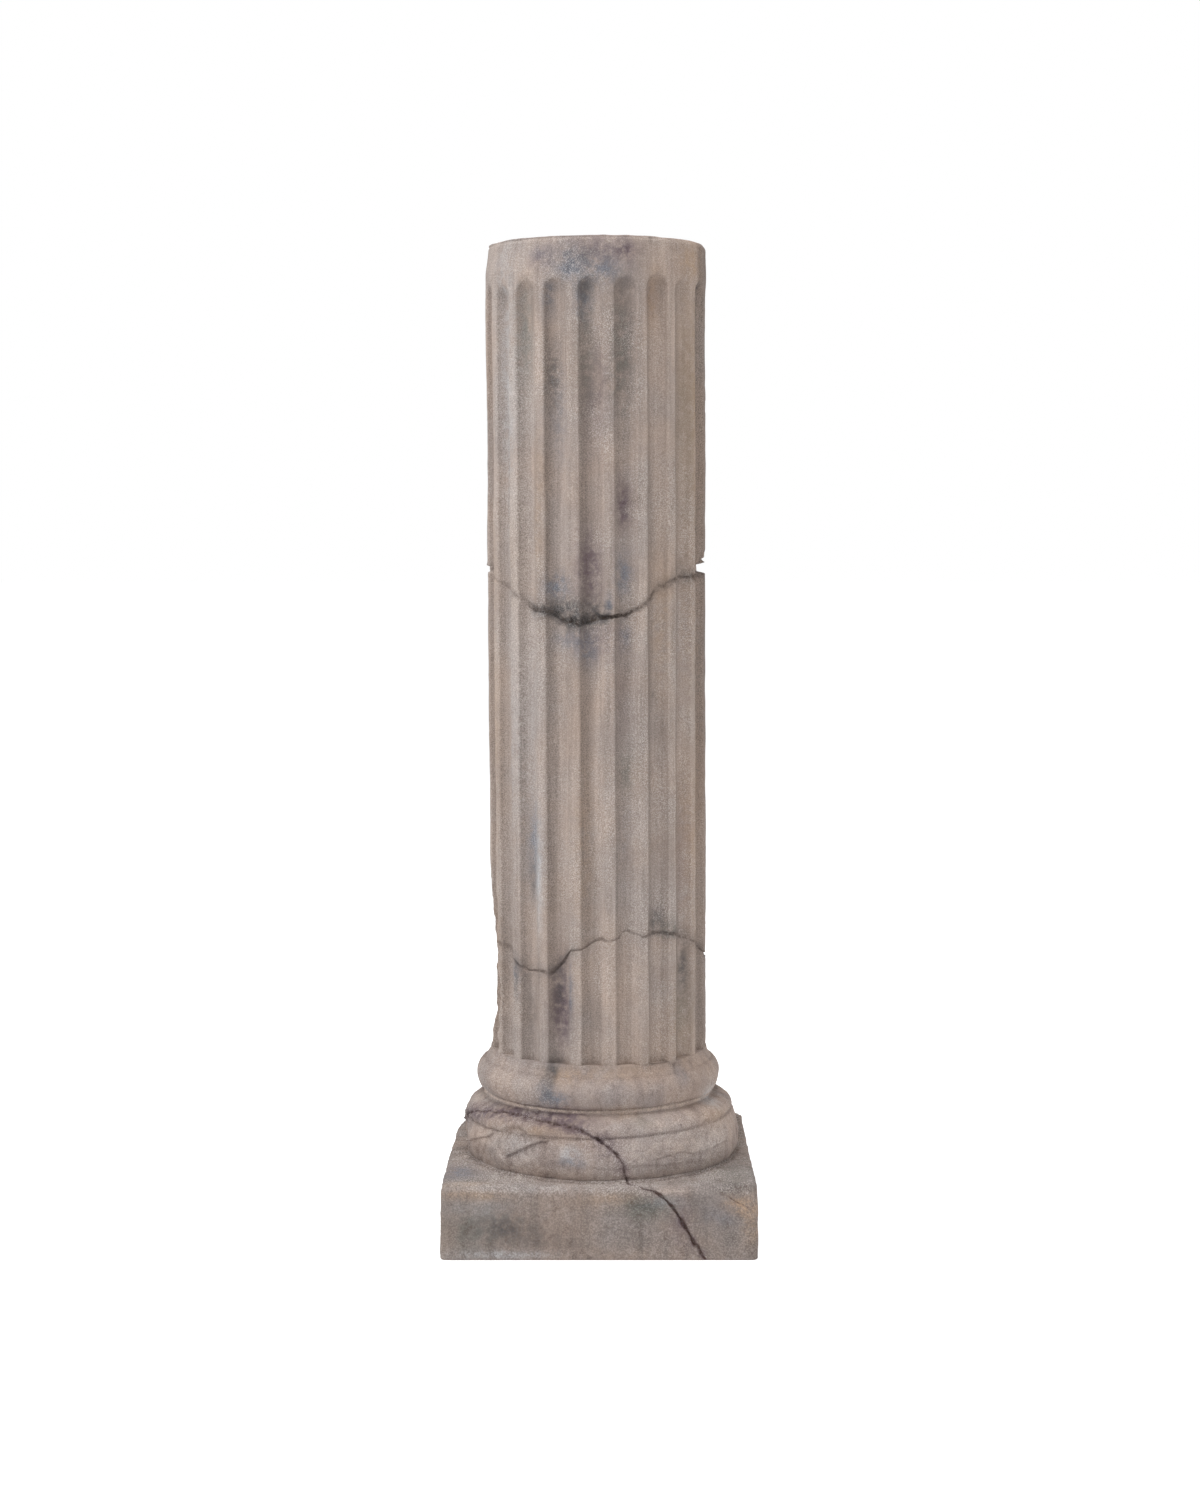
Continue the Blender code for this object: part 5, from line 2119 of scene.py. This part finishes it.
    def wall_rows(self, angle: np.ndarray) -> list[np.ndarray]:
        """Lays out the rows up the wall, some of which follow the cracks.

        Args:
            angle: the columns' angles.

        Returns:
            Each row's heights.
        """
        level = np.zeros_like(angle)
        lower, middle = LOWER_CRACK.height_at(angle), MIDDLE_CRACK.height_at(angle)
        reach = self.crack_rows[-1]
        heads = self.top - self.head_margin - 0.026
        offsets = [-o for o in self.crack_rows[::-1]] + [0.0] + self.crack_rows
        rows = rows_between(level + self.foot - self.sunk, lower - reach, 32)
        rows += [lower + offset for offset in offsets[:-1]]
        rows += rows_between(lower + reach, middle - reach, 46, 1.35)
        rows += [middle + offset for offset in offsets]
        rows += rows_between(middle + reach, level + heads, 34)[1:]
        rows += rows_between(level + heads, level + heads + 0.04, 26)
        rows += rows_between(level + heads + 0.04, level + self.top - self.rim_down, 7)
        return rows

    def wear_side(self, points: np.ndarray) -> tuple[np.ndarray, np.ndarray]:
        """Takes off the worn left side.

        Args:
            points: the skin's points.

        Returns:
            The new points, and how far each one moved.
        """
        levels, depths = zip(*self.worn_side)
        lift = points[..., 2] - self.foot
        depth = np.interp(lift, levels, depths)
        rough = self.worn_rough.at(points) + self.worn_grit.at(points)
        excess = -points[..., 0] - (self.radius - depth + rough)
        moved = soft_positive(excess, 0.0008) * (1 - smoothstep(lift, *self.worn_reach))
        moved = np.where(points[..., 0] < 0, moved, 0.0)
        return points + moved[..., None] * np.array([1.0, 0.0, 0.0]), moved

    def columns(self) -> np.ndarray:
        """Spaces the columns, closest together at the flutes' edges.

        Returns:
            Their angles.
        """
        half_turn = 180.0 / self.flutes
        shares = np.array([-share for share in self.flute_columns[:0:-1]] + self.flute_columns[:-1])
        middles = self.front_flute - 180.0 + half_turn * 2 * np.arange(self.flutes)
        return (middles[:, None] + half_turn * shares).ravel()

    def grid(self, angle: np.ndarray) -> tuple[np.ndarray, np.ndarray]:
        """Lays out the plain drum, its rim and its top.

        Args:
            angle: the columns' angles.

        Returns:
            The radius and the height of each point.
        """
        flat = 0.0 * angle
        wall = np.array(self.wall_rows(angle))
        turn = np.pi / 2 * np.arange(11)[:, None] / 10
        rim_height = self.top - self.rim_down * (1 - np.sin(turn)) + flat
        rim_radius = self.radius - self.rim_across * (1 - np.cos(turn)) + flat
        inward = np.linspace(self.radius - self.rim_across, 0.008, 15)[1:, None] + flat
        under = wall[:1] * 0.0 + 0.03
        height = np.concatenate([wall[:1], wall, rim_height, inward * 0.0 + self.top])
        radius = np.concatenate([under, wall * 0.0 + self.radius, rim_radius, inward])
        return radius, height

    def cracks(
        self, angle: np.ndarray, height: np.ndarray, places: np.ndarray, flute: np.ndarray
    ) -> tuple[np.ndarray, np.ndarray, np.ndarray]:
        """Works out the two cracks round the drum.

        Args:
            angle: the points' angles.
            height: the points' heights.
            places: the drum's points.
            flute: how deep the flutes are cut at each.

        Returns:
            The depth that is cut away, the grime in the cracks and the soot beside them.
        """
        cut, grime_and_shade, soot = np.zeros_like(flute), np.zeros_like(flute), np.zeros_like(flute)
        rubble = self.gravel.at(places) + self.crumbs.at(places)
        for ring in (LOWER_CRACK, MIDDLE_CRACK):
            opening = ring.opening(angle, height)
            depth = ring.read(angle, "depth")
            broad = smoothstep(depth, 0.0024, 0.0042)
            pinched = broad * 0.6 * (self.flute_depth - flute) * smoothstep(opening, 0.0, 0.8)
            near = ring.nearness(angle, height, 0.006)
            trough = depth * smoothstep(opening, 0.0, 0.7)
            cut += trough + pinched - (0.6 + 0.4 * broad) * near * rubble
            grime_and_shade = np.maximum(grime_and_shade, smoothstep(opening, 0.1, 0.95) * ring.read(angle, "dark"))
            soot = np.maximum(soot, ring.soot(angle, height))
        return cut, grime_and_shade, soot

    def coat(
        self, angle: np.ndarray, height: np.ndarray, flute: np.ndarray, on_wall: np.ndarray, bare: np.ndarray
    ) -> tuple[np.ndarray, np.ndarray]:
        """Works out the pale coat on the ridges, the painted highlight on the flutes' right walls, and the
        painted shade on their left walls and on the flutes turned away from the key light.

        Args:
            angle: the points' angles.
            height: the points' heights.
            flute: how deep the flutes are cut at each.
            on_wall: 1 on the upright wall, 0 on the top and the underside.
            bare: how much of the fillets is left.

        Returns:
            The pale coat with its painted highlight, and the painted shade with a thin wash in the flutes,
            at each point, from 0 to 1.
        """
        turns = (angle - self.front_flute) * self.flutes / 360.0
        across = 2.0 * (turns - np.round(turns))
        # Painted shade on the flutes' left walls, which face away from the key light; their right walls get
        # painted highlight.
        left_wall = smoothstep(-across, -0.35, 0.65)
        share = smoothstep(flute / self.flute_depth, 0.08, 0.3)
        # Painted shade over the flutes and fillets turned away from the key light on the right side,
        # stronger higher up.
        painted_shade_side = smoothstep(angle, 63.0, 68.0) * (1.0 - smoothstep(angle, 92.0, 112.0)) * on_wall
        low_down = smoothstep(height, self.foot, self.foot + 0.62)
        hollow = np.maximum(share * (0.05 + 0.75 * left_wall), (0.55 + 0.45 * low_down) * painted_shade_side)
        # Pale coat on the fillets, plus painted highlight on the flutes' right walls, with less of it where
        # the shade is painted.
        ridge = np.maximum(0.25 + 0.75 * bare, 0.8 * (1.0 - left_wall) * share)
        return np.clip(ridge, 0.0, 1.0) * (1.0 - 0.8 * painted_shade_side), hollow

    def skin(self) -> Skin:
        """Builds the shaft's skin.

        Returns:
            The skin, with its masks.
        """
        columns = self.columns()
        radius, height = self.grid(columns)
        angle = columns + 0.0 * height
        places = around(angle, radius, height)
        on_wall = smoothstep(radius, self.radius - 0.004, self.radius - 0.001)
        flute = self.flute_cut(angle, height) * on_wall
        cut, grime_and_shade, soot = self.cracks(angle, height, places, flute)
        fillet = bell(flute, 0.0, 0.0016)
        chips = smoothstep(NOISE.waves(places, 0.012, 2), 0.62, 1.0) * fillet * self.chipped
        near_rim = smoothstep(height, self.top - 0.036, self.top - 0.004)
        taper = (self.neck_in - self.neck_lean * np.sin(np.radians(angle))) * near_rim
        points = around(angle, radius - flute - cut - (chips + taper) * on_wall, height)
        points[..., 0] -= self.lean * np.maximum(height - self.foot, 0.0) / (self.top - self.foot)
        skin = Skin(points)
        inner = smoothstep(radius, 0.04, 0.09)
        low = 1.0 - smoothstep(height, self.foot + 0.16, self.foot + 0.22)
        lumps = smoothstep(-angle, 48.0, 66.0) * low * (self.lumpy.at(places) - 0.0008) * on_wall
        wave = self.warp.at(places) + self.rough.at(places)
        skin.push(inner * (wave - self.worn_off - self.pits.at(places) + lumps))
        skin.points, moved = self.wear_side(skin.points)
        skin.points = self.scar_rim(skin.points)
        skin.points[..., 2] = np.minimum(skin.points[..., 2], self.top)
        bare = fillet * on_wall * (1 - smoothstep(moved, 0.0005, 0.003))
        # The ridge mask carries painted highlight, and the hollow mask carries painted shade.
        skin.masks["ridge"], skin.masks["hollow"] = self.coat(angle, height, flute, on_wall, bare)
        skin.masks["crack"] = grime_and_shade
        skin.masks["soot"] = soot
        skin.stain(STAINS)
        return skin


def main() -> None:
    """Builds the plinth, the base and the shaft, and lights them."""
    logging.basicConfig(level=logging.INFO, format="%(message)s")
    plinth = Plinth()
    base = MouldedBase(foot=plinth.height)
    shaft = FlutedShaft(foot=base.top)
    for part in (plinth, base, shaft):
        piece = part.build()
        log.info("%s: %d faces in %s", piece.name, len(piece.data.polygons), part.stone.name)
    Studio().set_up()


if __name__ == "__main__":
    main()
